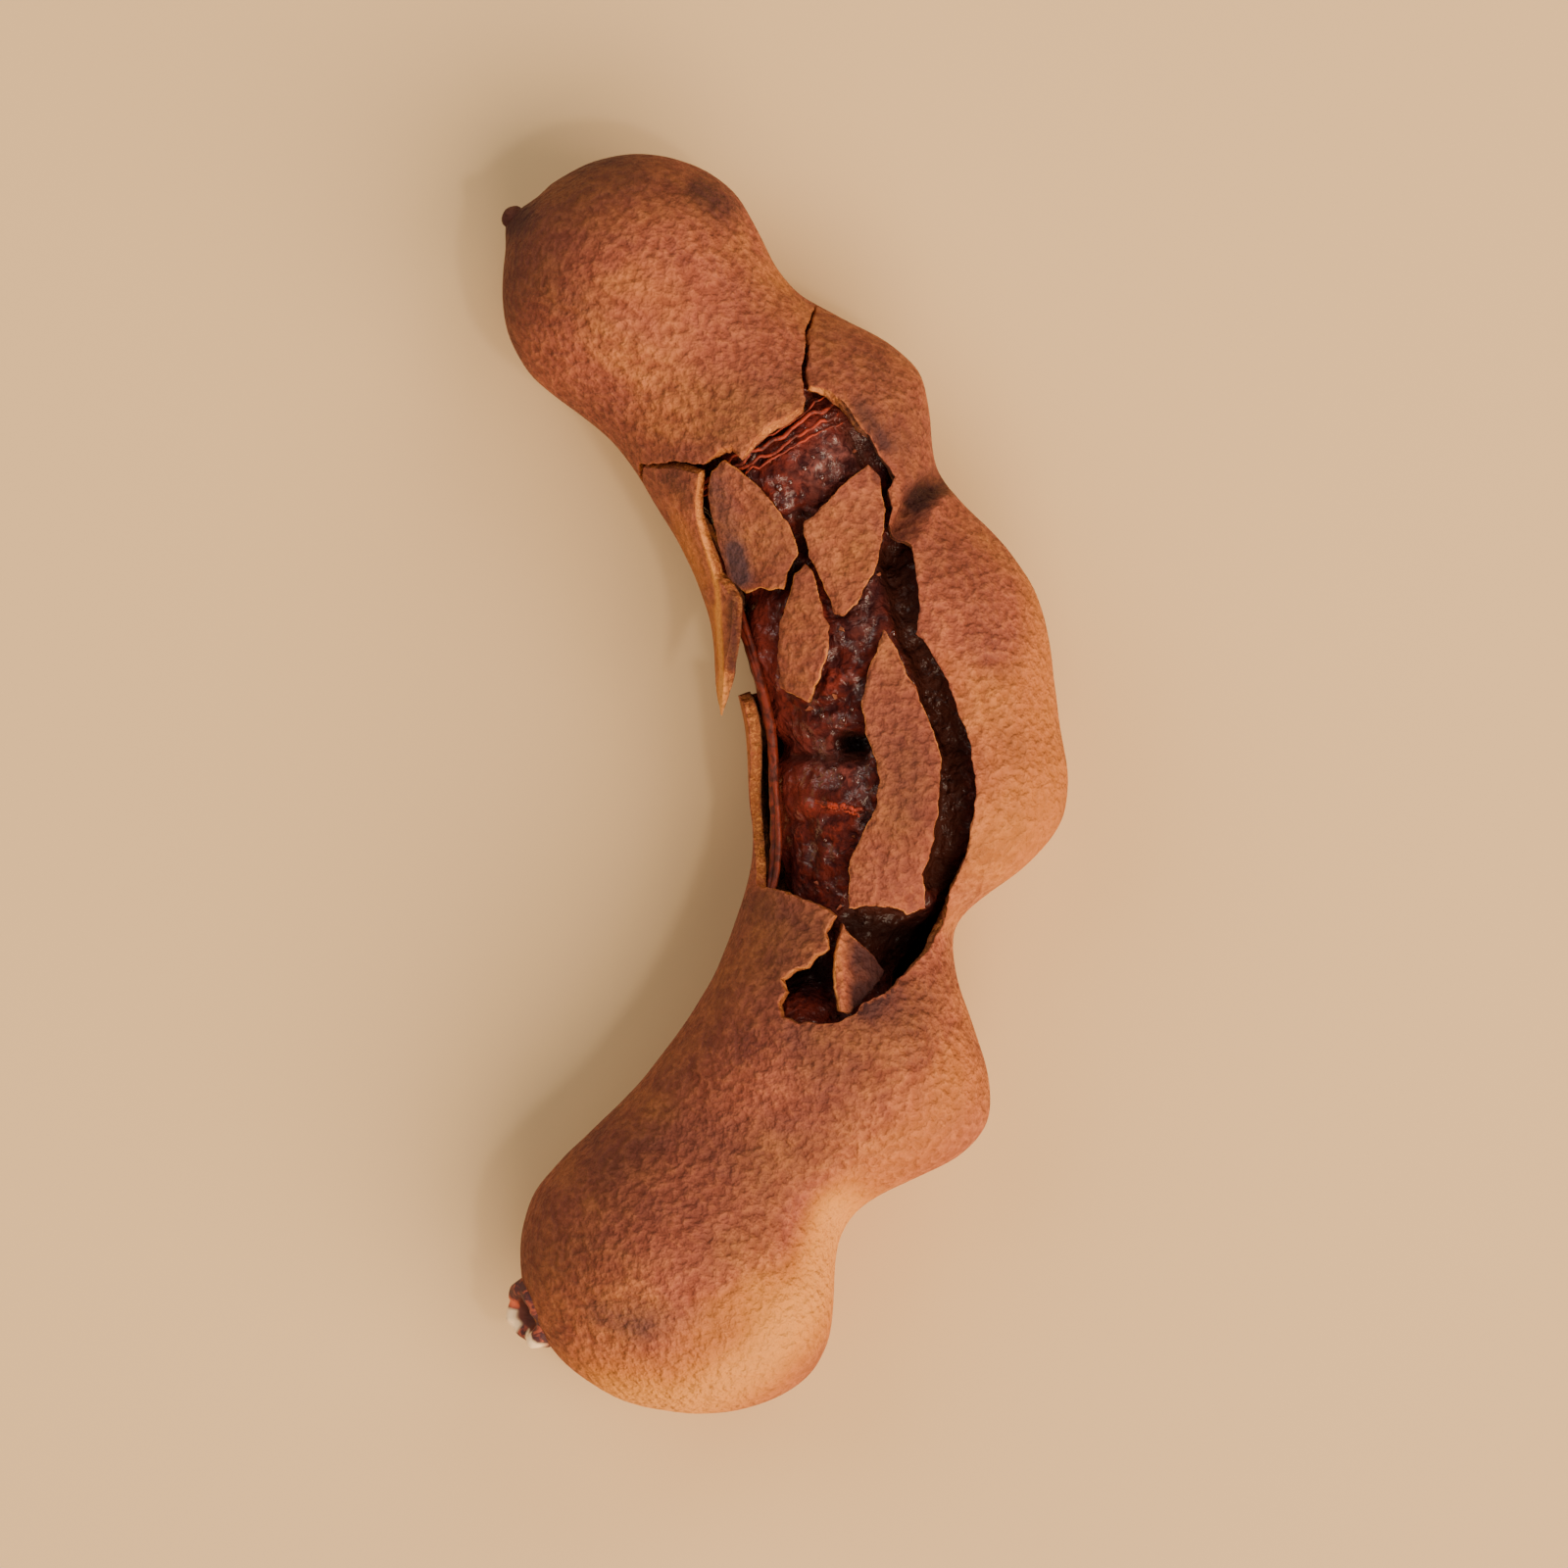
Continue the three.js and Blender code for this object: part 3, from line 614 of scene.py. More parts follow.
@dataclass(frozen=True)
class Ripple:
    """Soft noise: about how big its blobs are, how high they rise, and an offset of its own."""

    size: float
    height: float
    seed: float


def uneven(points: Array, *ripples: Ripple) -> Array:
    """Adds up ripples at points.

    Args:
        points: Rows of x, y, z in millimetres.
        ripples: The ripples to add.

    Returns:
        The sum at each point.
    """
    return sum(
        ripple.height * np.array([noise.noise(Vector(p)) for p in points / ripple.size + ripple.seed])
        for ripple in ripples
    )


def wander(count: int, step: float, size: float, seed: float) -> Array:
    """Gives noise along a closed ring, about -1 to 1, that meets itself at the ends.

    Args:
        count: Points in the ring.
        step: Distance between them.
        size: Size of the larger jags, each of which has smaller ones on it.
        seed: Offset that tells one noise from another.

    Returns:
        One value for each point.
    """
    loop = level_circle(full_turn(count), count * step / (2 * math.pi))
    return uneven(loop, Ripple(size, 1.0, seed), Ripple(size / SMALLER_JAGS, 0.5, seed + 5))


def in_scene(name: str, data: bpy.types.ID) -> bpy.types.Object:
    """Puts a mesh, a light or a camera in the scene as an object."""
    made = bpy.data.objects.new(name, data)
    bpy.context.scene.collection.objects.link(made)
    return made


def make_object(
    name: str, points: Array, faces: list[tuple[int, ...]], values: dict[str, Array] | None = None,
    crease_angle: float = 50.0,
) -> bpy.types.Object:
    """Makes a mesh object from millimetres.

    Args:
        name: The object's name.
        points: Rows of x, y, z in millimetres.
        faces: Corner numbers of each face.
        values: Named values for each point, which materials read.
        crease_angle: Edges that bend more than this many degrees are drawn sharp.

    Returns:
        The object, linked to the scene.
    """
    mesh = bpy.data.meshes.new(name)
    mesh.from_pydata((points * MM).tolist(), [], faces)
    for key, value in (values or {}).items():
        mesh.attributes.new(key, "FLOAT", "POINT").data.foreach_set("value", value.astype(np.float32))
    mesh.validate()
    mesh.shade_smooth()
    mesh.set_sharp_from_angle(angle=math.radians(crease_angle))
    return in_scene(name, mesh)


def closed_grid(sides: int, first: Array, rows: Array, last: Array) -> Mesh:
    """Joins rings of points into one closed body.

    Args:
        sides: Points in each ring.
        first: The pole before the first ring.
        rows: The rings' points, ring after ring.
        last: The pole after the last ring.

    Returns:
        The points and the faces, which point outwards.
    """
    points = np.vstack([first, rows, last])
    end = len(points) - 1
    faces = []
    for j in range(sides):
        k = (j + 1) % sides
        faces.append((0, 1 + k, 1 + j))
        faces.append((end, end - sides + j, end - sides + k))
        for near in range(1, end - sides, sides):
            faces.append((near + j, near + k, near + sides + k, near + sides + j))
    return points, faces


def unit_ball(sides: int, rings: int) -> Mesh:
    """Makes a ball of radius 1.

    Args:
        sides: Points in each ring.
        rings: Rings between the two poles.

    Returns:
        The points and the faces.
    """
    tilt = np.repeat(np.linspace(0, math.pi, rings + 2)[1:-1], sides)
    rows = level_circle(np.tile(full_turn(sides), rings), np.sin(tilt))
    rows[:, 2] = -np.cos(tilt)
    pole = np.array([0.0, 0.0, 1.0])
    return closed_grid(sides, -pole, rows, pole)


def tube(route: Array, radii: Array, sides: int, bulge: float = 0.6) -> Mesh:
    """Makes a closed tube with round ends along a route.

    Args:
        route: Points that the tube's middle follows.
        radii: The tube's radius at each point.
        sides: Points round the tube.
        bulge: How far its ends stand out, as a share of their radius.

    Returns:
        The points and the faces.
    """
    tangent = unit(np.gradient(route, axis=0))
    side = unit(np.cross(tangent, [0.0, 0.0, 1.0]))
    other = np.cross(side, tangent)
    turn = full_turn(sides)[None, :, None]
    circle = side[:, None] * np.cos(turn) + other[:, None] * np.sin(turn)
    rows = (route[:, None] + circle * radii[:, None, None]).reshape(-1, 3)
    first = route[0] - tangent[0] * radii[0] * bulge
    last = route[-1] + tangent[-1] * radii[-1] * bulge
    return closed_grid(sides, first, rows, last)


def joined(parts: list[Mesh]) -> Mesh:
    """Puts several meshes in one."""
    faces, start = [], 0
    for points, own_faces in parts:
        faces += [tuple(i + start for i in face) for face in own_faces]
        start += len(points)
    return np.vstack([points for points, _ in parts]), faces


def ragged(outline: Array, step: float, jag: float, seed: float, wave: float = 1.1) -> Array:
    """Breaks up an outline as brittle husk breaks.

    Args:
        outline: Corners of a closed outline.
        step: Distance between the points that are made.
        jag: How far the break wanders from the outline.
        seed: Offset that tells one break from another.
        wave: Size of its jags.

    Returns:
        The points of the ragged outline.
    """
    made = []
    for a, b in zip(outline, np.roll(outline, -1, axis=0)):
        count = max(1, round(float(np.linalg.norm(b - a)) / step))
        made += [a + (b - a) * i / count for i in range(count)]
    ring = np.array(made)
    return shifted(ring, jag * wander(len(ring), step, wave, seed))


def shifted(ring: Array, amount: Array | float, even_out: int = 0) -> Array:
    """Moves the points of a ring inwards.

    Args:
        ring: The ring.
        amount: How far each point moves, below 0 for outwards.
        even_out: Neighbours on each side that share a point's move, so that corners don't fold.

    Returns:
        The moved ring.
    """
    chord = unit(np.roll(ring, -2, axis=0) - np.roll(ring, 2, axis=0))
    following = np.roll(ring, -1, axis=0)
    area = float((ring[:, 0] * following[:, 1] - following[:, 0] * ring[:, 1]).sum())
    move = leftward(chord) * math.copysign(1.0, area) * np.broadcast_to(amount, len(ring))[:, None]
    shared = sum(np.roll(move, turn, axis=0) for turn in range(-even_out, even_out + 1))
    return ring + shared / (2 * even_out + 1)


def inside(points: Array, ring: Array) -> Array:
    """Says which points lie inside a ring."""
    a, b = ring, np.roll(ring, -1, axis=0)
    crosses = (a[None, :, 1] > points[:, None, 1]) != (b[None, :, 1] > points[:, None, 1])
    rise = np.where(b[:, 1] == a[:, 1], 1.0, b[:, 1] - a[:, 1])
    at = a[None, :, 0] + (points[:, None, 1] - a[None, :, 1]) * ((b - a)[None, :, 0] / rise)
    return (crosses & (points[:, None, 0] < at)).sum(axis=1) % 2 == 1


def fill(ring: Array, spacing: float, clearance: float = 0.6) -> tuple[Array, Array]:
    """Covers the inside of a ring with triangles.

    Args:
        ring: The outline, which keeps its points and comes first in the result.
        spacing: Distance between the points inside.
        clearance: Share of the spacing that they keep from the outline.

    Returns:
        The points and the triangles.
    """
    low, high = ring.min(axis=0), ring.max(axis=0)
    u, v = np.meshgrid(
        np.arange(low[0], high[0], spacing), np.arange(low[1], high[1], spacing * math.sqrt(0.75))
    )
    u = u + (np.arange(u.shape[0]) % 2)[:, None] * spacing / 2
    grid = np.stack([u.ravel(), v.ravel()], axis=1)
    grid = grid[inside(grid, ring)]
    gap = np.linalg.norm(grid[:, None, :] - ring[None, :, :], axis=2).min(axis=1)
    points = np.vstack([ring, grid[gap > clearance * spacing]])
    made, _, triangles, origin, _, _ = delaunay_2d_cdt(
        [Vector(p) for p in points], [], [list(range(len(ring)))], INSIDE_ONLY, SAME_PLACE
    )
    number, extra = [], []
    for place, sources in zip(made, origin):
        if sources:
            number.append(min(sources))
        else:
            number.append(len(points) + len(extra))
            extra.append((place.x, place.y))
    if extra:
        points = np.vstack([points, np.array(extra)])
    return points, np.array([[number[i] for i in t] for t in triangles])


@dataclass(frozen=True)
class Layer:
    """One ring of a plate's broken edge: its depth and how far it stands in from the outline."""

    depth: float
    inset: float


def edge_layers(sink: float, thickness: float, insets: Rows) -> tuple[Layer, ...]:
    """Gives the rings of a loose chip's edge.

    Args:
        sink: How deep its top face lies.
        thickness: Its thickness.
        insets: Shares of the thickness, each with how far the edge stands in there.

    Returns:
        The rings, from the top face to the bottom face.
    """
    return tuple(Layer(sink + share * thickness, inset) for share, inset in insets)


def plate(
    ring: Array, layers: tuple[Layer, ...], spacing: float, jag: float, seed: float,
    surface: Callable[[Array, Array], Array], slope: Array | float = 1.0, wave: float = 0.9,
) -> tuple[Array, list, Array]:
    """Makes a curved plate with a broken edge.

    Args:
        ring: The outline, unrolled.
        layers: The rings of its edge, from the top face to the bottom face.
        spacing: Distance between points on the two faces.
        jag: How far each ring of the edge wanders by itself.
        seed: Offset that tells one plate from another.
        surface: Gives x, y, z for unrolled places and depths.
        slope: Factor on the layers' insets for each point of the ring.
        wave: Size of the jags in each ring of the edge.

    Returns:
        The points, the faces, and each point's depth.
    """
    step = float(np.linalg.norm(np.diff(ring, axis=0), axis=1).mean())
    rings = []
    for i, layer in enumerate(layers):
        own = jag * wander(len(ring), step, wave, seed + 3 * i) if layer.inset else 0.0
        rings.append(shifted(ring, layer.inset * slope + own, even_out=2))
    top, top_faces = fill(rings[0], spacing)
    bottom, bottom_faces = fill(rings[-1], spacing)
    levels = [top, *rings[1:-1], bottom]
    depths = np.concatenate([np.full(len(own), layer.depth) for own, layer in zip(levels, layers)])
    starts = np.cumsum([0] + [len(own) for own in levels[:-1]])
    faces = [*top_faces, *(bottom_faces[:, ::-1] + starts[-1])]
    for upper, lower in zip(starts, starts[1:]):
        for i in range(len(ring)):
            k = (i + 1) % len(ring)
            faces.append((upper + i, lower + i, lower + k, upper + k))
    return surface(np.vstack(levels), depths), [tuple(int(i) for i in f) for f in faces], depths


def outward_facing(obj: bpy.types.Object) -> bpy.types.Object:
    """Turns every face of a closed mesh outwards."""
    work = bmesh.new()
    work.from_mesh(obj.data)
    bmesh.ops.recalc_face_normals(work, faces=work.faces)
    work.to_mesh(obj.data)
    work.free()
    return obj


class Joining(Enum):
    """What is done with two closed meshes, by Blender's name for it."""

    ADD = "UNION"
    CUT = "DIFFERENCE"


def combine(body: bpy.types.Object, tool: bpy.types.Object, joining: Joining) -> None:
    """Adds one closed mesh to another or cuts it away, and removes it.

    Args:
        body: The object that stays.
        tool: The object that is added to it or cut from it.
        joining: Which of the two is done.
    """
    modifier = body.modifiers.new("combine", "BOOLEAN")
    modifier.operation = joining.value
    modifier.solver = "MANIFOLD"
    modifier.object = tool
    graph = bpy.context.evaluated_depsgraph_get()
    done = bpy.data.meshes.new_from_object(body.evaluated_get(graph))
    body.modifiers.clear()
    body.data = done
    bpy.data.objects.remove(tool)


# ---------------------------------------------------------------- finishes


def linear(hex_code: str, alpha: float = 1.0) -> tuple[float, float, float, float]:
    """Turns an sRGB hex colour to the linear values that shaders take."""
    values = [int(hex_code[i : i + 2], 16) / 255 for i in (1, 3, 5)]
    red, green, blue = (v / 12.92 if v <= 0.04045 else ((v + 0.055) / 1.055) ** 2.4 for v in values)
    return red, green, blue, alpha


Tree = bpy.types.NodeTree
Socket = bpy.types.NodeSocket
Paint = str | Socket  # a hex code, or the output socket of a finished colour
MIX_A, MIX_B, MIX_RESULT = 6, 7, 2  # the colour sockets of Blender's Mix node


def add_node(
    tree: Tree, kind: str, inputs: dict | None = None, output: str | int = 0, **settings: object
) -> Socket | None:
    """Adds one node with its settings, values and links.

    Args:
        tree: The node tree.
        kind: Blender's name of the node's type, without "ShaderNode".
        inputs: For each socket's name or number, a value, or the output socket that feeds it.
        output: Name or number of the output socket that is wanted.
        settings: The node's own settings.

    Returns:
        That output socket, or None from a node that has none.
    """
    made = tree.nodes.new("ShaderNode" + kind)
    for key, value in settings.items():
        setattr(made, key, value)
    for key, value in (inputs or {}).items():
        if isinstance(value, Socket):
            tree.links.new(value, made.inputs[key])
        else:
            made.inputs[key].default_value = value
    return made.outputs[output] if made.outputs else None


@dataclass(frozen=True)
class Wash:
    """A colour laid over others: it grows from nothing to its strength as a pattern runs on."""

    pattern: str
    start: float
    full: float
    strength: float
    paint: Paint


@dataclass(frozen=True)
class Grain:
    """A noise in a material: the size of its blobs and how it is built up.

    Cells are round grains that lie side by side: 0 in the middle of each, and more at its edge.
    """

    size_mm: float
    detail: float = 3.0
    roughness: float = 0.55
    distortion: float = 0.0
    cells: bool = False


class MaterialMaker:
    """A material in the making: its node tree, and the patterns that paint and emboss it."""

    def __init__(
        self, name: str, grains: dict[str, Grain] | None = None, attributes: tuple[str, ...] = ()
    ) -> None:
        """Starts a material with its patterns.

        Args:
            name: The material's name.
            grains: The noises, by name.
            attributes: Names of the mesh's own values, which are patterns too.
        """
        self.material = bpy.data.materials.new(name)
        self.material.use_nodes = True
        self.tree = self.material.node_tree
        self.tree.nodes.clear()
        self.patterns: dict[str, Socket] = {}
        if grains:
            place = add_node(self.tree, "TexCoord", output="Object")
            for key, grain in grains.items():
                self.patterns[key] = self.grown(grain, place)
        for key in attributes:
            self.patterns[key] = add_node(self.tree, "Attribute", output="Fac", attribute_name=key)

    def grown(self, grain: Grain, place: Socket) -> Socket:
        """Makes the pattern of a grain over places."""
        inputs = {"Vector": place, "Scale": 1.0 / (grain.size_mm * MM)}
        if grain.cells:
            return add_node(self.tree, "TexVoronoi", inputs, output="Distance", feature="SMOOTH_F1")
        inputs |= {
            "Detail": grain.detail, "Roughness": grain.roughness, "Distortion": grain.distortion,
        }
        return add_node(self.tree, "TexNoise", inputs, output="Fac")

    def washed(self, ground: str, *washes: Wash) -> Socket:
        """Lays washes of colour over a ground.

        Args:
            ground: The colour under all washes.
            washes: The washes, from the lowest to the uppermost.

        Returns:
            The finished colour.
        """
        colour = linear(ground)
        for wash in washes:
            share = add_node(
                self.tree, "MapRange",
                {
                    "Value": self.patterns[wash.pattern], "From Min": wash.start,
                    "From Max": wash.full, "To Max": wash.strength,
                },
            )
            paint = linear(wash.paint) if isinstance(wash.paint, str) else wash.paint
            colour = add_node(
                self.tree, "Mix", {"Factor": share, MIX_A: colour, MIX_B: paint},
                output=MIX_RESULT, data_type="RGBA",
            )
        return colour

    def embossed(
        self, height_mm: float, crests: str, pits: str = "", pit_share: float = 0.0,
        strength: float = 1.0,
    ) -> Socket:
        """Gives the surface a relief.

        Args:
            height_mm: Height of a full step of the pattern, which only runs over a part of it.
            crests: The pattern that raises the surface.
            pits: The pattern that sinks it, if there is one.
            pit_share: How much of that pattern is taken off.
            strength: How strongly the relief shows.

        Returns:
            The directions that the relief's surface faces.
        """
        height = self.patterns[crests]
        if pits:
            height = add_node(
                self.tree, "Math", {0: self.patterns[pits], 1: -pit_share, 2: height},
                operation="MULTIPLY_ADD",
            )
        inputs = {"Height": height, "Distance": height_mm * MM, "Strength": strength}
        return add_node(self.tree, "Bump", inputs)

    def finished(self, shader: dict[str, object]) -> bpy.types.Material:
        """Ends the material with a shader that takes those values and sockets."""
        surface = add_node(self.tree, "BsdfPrincipled", shader)
        add_node(self.tree, "OutputMaterial", {"Surface": surface})
        return self.material


@dataclass(frozen=True)
class DryHusk:
    """Ripe tamarind husk, grown and dried on the tree, and cracked by hand.

    The dried skin is matte and pitted like leather, with short crests between the pits. It goes
    from rosy brown to gold, with plum-brown patches. A break shows the fibrous wall, and the
    inside is a smooth tan lining with stains from the pulp. Light and shade are painted on it
    too: lit gold and pale where light falls on it, shade where it faces away and in its creases,
    and part of the contrast between its crests and pits.
    """

    ground: str = "#9c523a"
    gold: str = "#b26c38"
    red: str = "#86402b"
    plum: str = "#582726"
    crest: str = "#b96b42"
    pit: str = "#74351e"
    shade: str = "#331618"
    lit: str = "#d08220"
    pale: str = "#e2a25e"
    bruise: str = "#442e33"
    wall: str = "#8a4a22"
    wall_light: str = "#dc8e48"
    lining: str = "#7c4a2a"
    stain: str = "#3d1a10"

    def make(self, name: str) -> bpy.types.Material:
        """Makes the material."""
        # Pits and scurf of a real husk are about half these sizes: they are drawn coarser to show.
        grains = {
            "drift": Grain(10.0, roughness=0.6),
            "blotch": Grain(5.5, detail=4.0, roughness=0.6),
            "mottle": Grain(2.4, detail=4.0, roughness=0.65),
            "folds": Grain(0.82, detail=2.0, roughness=0.5),
            "grains": Grain(0.56, cells=True),
            "scurf": Grain(0.34, detail=2.0, roughness=0.5),
            "strands": Grain(0.5, detail=4.0, distortion=2.0),
        }
        maker = MaterialMaker(name, grains, ("below", "tone", "bruise"))
        wall = maker.washed(
            self.wall,
            Wash("strands", 0.48, 0.68, 0.7, self.wall_light),
            Wash("mottle", 0.5, 0.64, 0.8, self.red),
            # Painted light where the wall's tone is above 0, and painted shade where it is below 0.
            Wash("tone", 0.0, 1.0, 0.8, self.wall_light),
            Wash("tone", 0.0, -1.6, 0.9, self.shade),
        )
        lining = maker.washed(self.lining, Wash("mottle", 0.4, 0.62, 1.0, self.stain))
        colour = maker.washed(
            self.ground,
            Wash("drift", 0.44, 0.6, 0.85, self.gold),
            Wash("mottle", 0.5, 0.68, 0.6, self.red),
            Wash("blotch", 0.53, 0.7, 0.65, self.plum),
            # The crests are painted lighter and the pits darker: partly the husk's own colour, and
            # partly painted light and shade on its grain.
            Wash("folds", 0.5, 0.64, 0.42, self.crest),
            Wash("folds", 0.5, 0.36, 0.5, self.pit),
            Wash("grains", 0.3, 0.1, 0.25, self.crest),
            Wash("grains", 0.36, 0.6, 0.4, self.pit),
            Wash("scurf", 0.47, 0.34, 0.3, self.pit),
            # Painted light (lit, and pale on the brightest) where the tone is above 0, and painted
            # shade where it is below 0, which is partly the skin's own plum-brown too.
            Wash("tone", 0.0, 1.0, 0.75, self.lit),
            Wash("tone", 0.5, 1.3, 0.35, self.pale),
            Wash("tone", 0.0, -1.6, 0.92, self.shade),
            Wash("bruise", 0.15, 1.0, 0.9, self.bruise),
            Wash("below", 0.04, 0.12, 1.0, wall),
            Wash("below", 0.88, 0.98, 1.0, lining),
        )
        dullness = {"Value": maker.patterns["mottle"], "To Min": 0.62, "To Max": 0.9}
        return maker.finished({
            "Base Color": colour, "Roughness": add_node(maker.tree, "MapRange", dullness),
            "Normal": maker.embossed(0.75, "folds", "grains", 0.2), "Specular IOR Level": 0.3,
        })


@dataclass(frozen=True)
class StickyPulp:
    """Ripe tamarind pulp, soft and wet with syrup.

    It is dark maroon, and redder where it is thin. Light and shade are painted on it: its furrows,
    holes and gaps are painted darker, down to black, as shade, a few ridges are painted redder as
    lit, and mauve-grey patches are a painted sheen. Its lumpy surface is dull, and a patchy film
    of syrup on it breaks the light into small bright points.
    """

    ground: str = "#571d15"
    thin: str = "#7e2f24"
    plum: str = "#2f1114"
    # The mauve grey is a painted sheen; the deep brown and the black are painted shade.
    painted_sheen_mauve: str = "#744a46"
    deep: str = "#3a1a12"
    black: str = "#150908"

    def make(self, name: str) -> bpy.types.Material:
        """Makes the material."""
        grains = {
            "lumps": Grain(2.2, detail=4.0, distortion=0.8),
            "seedy": Grain(0.9, detail=2.0, distortion=0.3),
            "grains": Grain(0.7, cells=True),
            "film": Grain(1.6, detail=2.0),
        }
        maker = MaterialMaker(name, grains, ("hollow", "tone", "painted_sheen"))
        # The mauve-grey washes are painted sheen, the tone's redder side is partly painted light on
        # ridges, and the furrows, holes and gaps are painted shade, down to black.
        colour = maker.washed(
            self.ground,
            Wash("lumps", 0.48, 0.68, 0.75, self.thin),
            Wash("painted_sheen", 0.0, 1.0, 0.9, self.painted_sheen_mauve),
            Wash("seedy", 0.52, 0.38, 0.8, self.plum),
            Wash("film", 0.5, 0.64, 0.34, self.painted_sheen_mauve),
            Wash("grains", 0.36, 0.58, 0.55, self.plum),
            Wash("tone", 0.0, 1.0, 0.8, self.thin),
            Wash("tone", 0.0, -1.0, 0.8, self.plum),
            Wash("hollow", 0.1, 0.75, 0.95, self.deep),
            Wash("tone", -0.7, -1.8, 0.9, self.black),
        )
        film = {"Value": maker.patterns["film"], "From Min": 0.48, "From Max": 0.6}
        # Less syrup lies in the furrows than on the crests.
        crests = {
            "Value": maker.patterns["hollow"], "From Min": 0.4, "From Max": 0.05, "To Min": 0.4,
        }
        shares = [add_node(maker.tree, "MapRange", inputs) for inputs in (film, crests)]
        gloss = add_node(maker.tree, "Math", dict(enumerate(shares)), operation="MULTIPLY")
        relief = maker.embossed(0.6, "seedy", "grains", 0.5)
        return maker.finished({
            "Base Color": colour, "Roughness": 0.6, "Normal": relief, "Specular IOR Level": 0.08,
            "Coat Weight": gloss, "Coat Roughness": 0.16, "Coat Normal": relief,
        })


@dataclass(frozen=True)
class PulpyFibre:
    """Tamarind strands: tough plant fibre with pulp dried on it.

    They are brick red to brown, streaked along their length, with a dull shine where pulp sticks
    to them.
    """

    clean: str = "#7a2a17"
    fresh: str = "#a5381f"
    stained: str = "#45170f"

    def make(self, name: str) -> bpy.types.Material:
        """Makes the material."""
        maker = MaterialMaker(name, {"streaks": Grain(1.0, detail=4.0, distortion=0.7)}, ("thin",))
        colour = maker.washed(
            self.clean,
            Wash("thin", 0.0, 1.0, 0.8, self.fresh),
            Wash("streaks", 0.58, 0.4, 0.95, self.stained),
        )
        return maker.finished({
            "Base Color": colour, "Roughness": 0.5, "Normal": maker.embossed(0.12, "streaks"),
            "Specular IOR Level": 0.3,
        })


@dataclass(frozen=True)
class SugarSyrup:
    """Drops of dark syrup that the pulp has sweated out: smooth and wet, each with a bright glint."""

    brown: str = "#4a180e"

    def make(self, name: str) -> bpy.types.Material:
        """Makes the material."""
        return MaterialMaker(name).finished({
            "Base Color": linear(self.brown), "Roughness": 0.07, "IOR": 1.48, "Coat Weight": 1.0,
            "Coat Roughness": 0.03,
        })


@dataclass(frozen=True)
class TornStalk:
    """A woody stalk, torn off: purple-brown bark, red flesh under it, cream on the torn rim."""

    bark: str = "#4a2126"
    flesh: str = "#e66c46"
    torn: str = "#ffdfb0"
    hollow: str = "#5a2416"

    def make(self, name: str) -> bpy.types.Material:
        """Makes the material."""
        grains = {"grain": Grain(0.8, detail=4.0, distortion=0.8)}
        maker = MaterialMaker(name, grains, ("rim", "hollow", "flesh"))
        colour = maker.washed(
            self.bark,
            Wash("grain", 0.5, 0.66, 0.5, self.flesh),
            Wash("flesh", 0.0, 1.0, 0.9, self.flesh),
            Wash("rim", 0.2, 0.8, 1.0, self.torn),
            Wash("hollow", 0.0, 0.6, 1.0, self.hollow),
        )
        relief = maker.embossed(0.15, "grain", strength=0.8)
        return maker.finished({"Base Color": colour, "Roughness": 0.7, "Normal": relief})


@dataclass(frozen=True)
class PaintedFloor:
    """A plain pale floor: matte paint, rolled on, with no pattern that the eye can find."""

    paint: str = "#e2bf8c"

    def make(self, name: str) -> bpy.types.Material:
        """Makes the material."""
        return MaterialMaker(name).finished({"Base Color": linear(self.paint), "Roughness": 0.9})


class Finish(Enum):
    """The finishes of the pod's pieces."""

    HUSK = "dried_tamarind_husk"
    PULP = "sticky_tamarind_pulp"
    SYRUP = "wet_sugar_syrup"
    FIBRE = "pulp_stained_fibre"
    STALK = "torn_woody_stalk"
    FLOOR = "matte_rolled_floor_paint"


def make_finishes() -> dict[Finish, bpy.types.Material]:
    """Makes every material once."""
    recipes = {
        Finish.HUSK: DryHusk(), Finish.PULP: StickyPulp(), Finish.SYRUP: SugarSyrup(),
        Finish.FIBRE: PulpyFibre(), Finish.STALK: TornStalk(), Finish.FLOOR: PaintedFloor(),
    }
    return {finish: recipe.make(finish.value) for finish, recipe in recipes.items()}


# ---------------------------------------------------------------- the pieces


def dress(
    obj: bpy.types.Object, material: bpy.types.Material, node: str | None
) -> bpy.types.Object:
    """Gives a piece its material and ties it to the frame.

    Args:
        obj: The piece.
        material: The material.
        node: The CAD node that it stands for, if there is one.

    Returns:
        The piece.
    """
    obj.data.materials.clear()
    obj.data.materials.append(material)
    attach(obj, BODY)
    if node:
        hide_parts(node)
    LOG.info("%s: %d faces", obj.name, len(obj.data.polygons))
    return obj


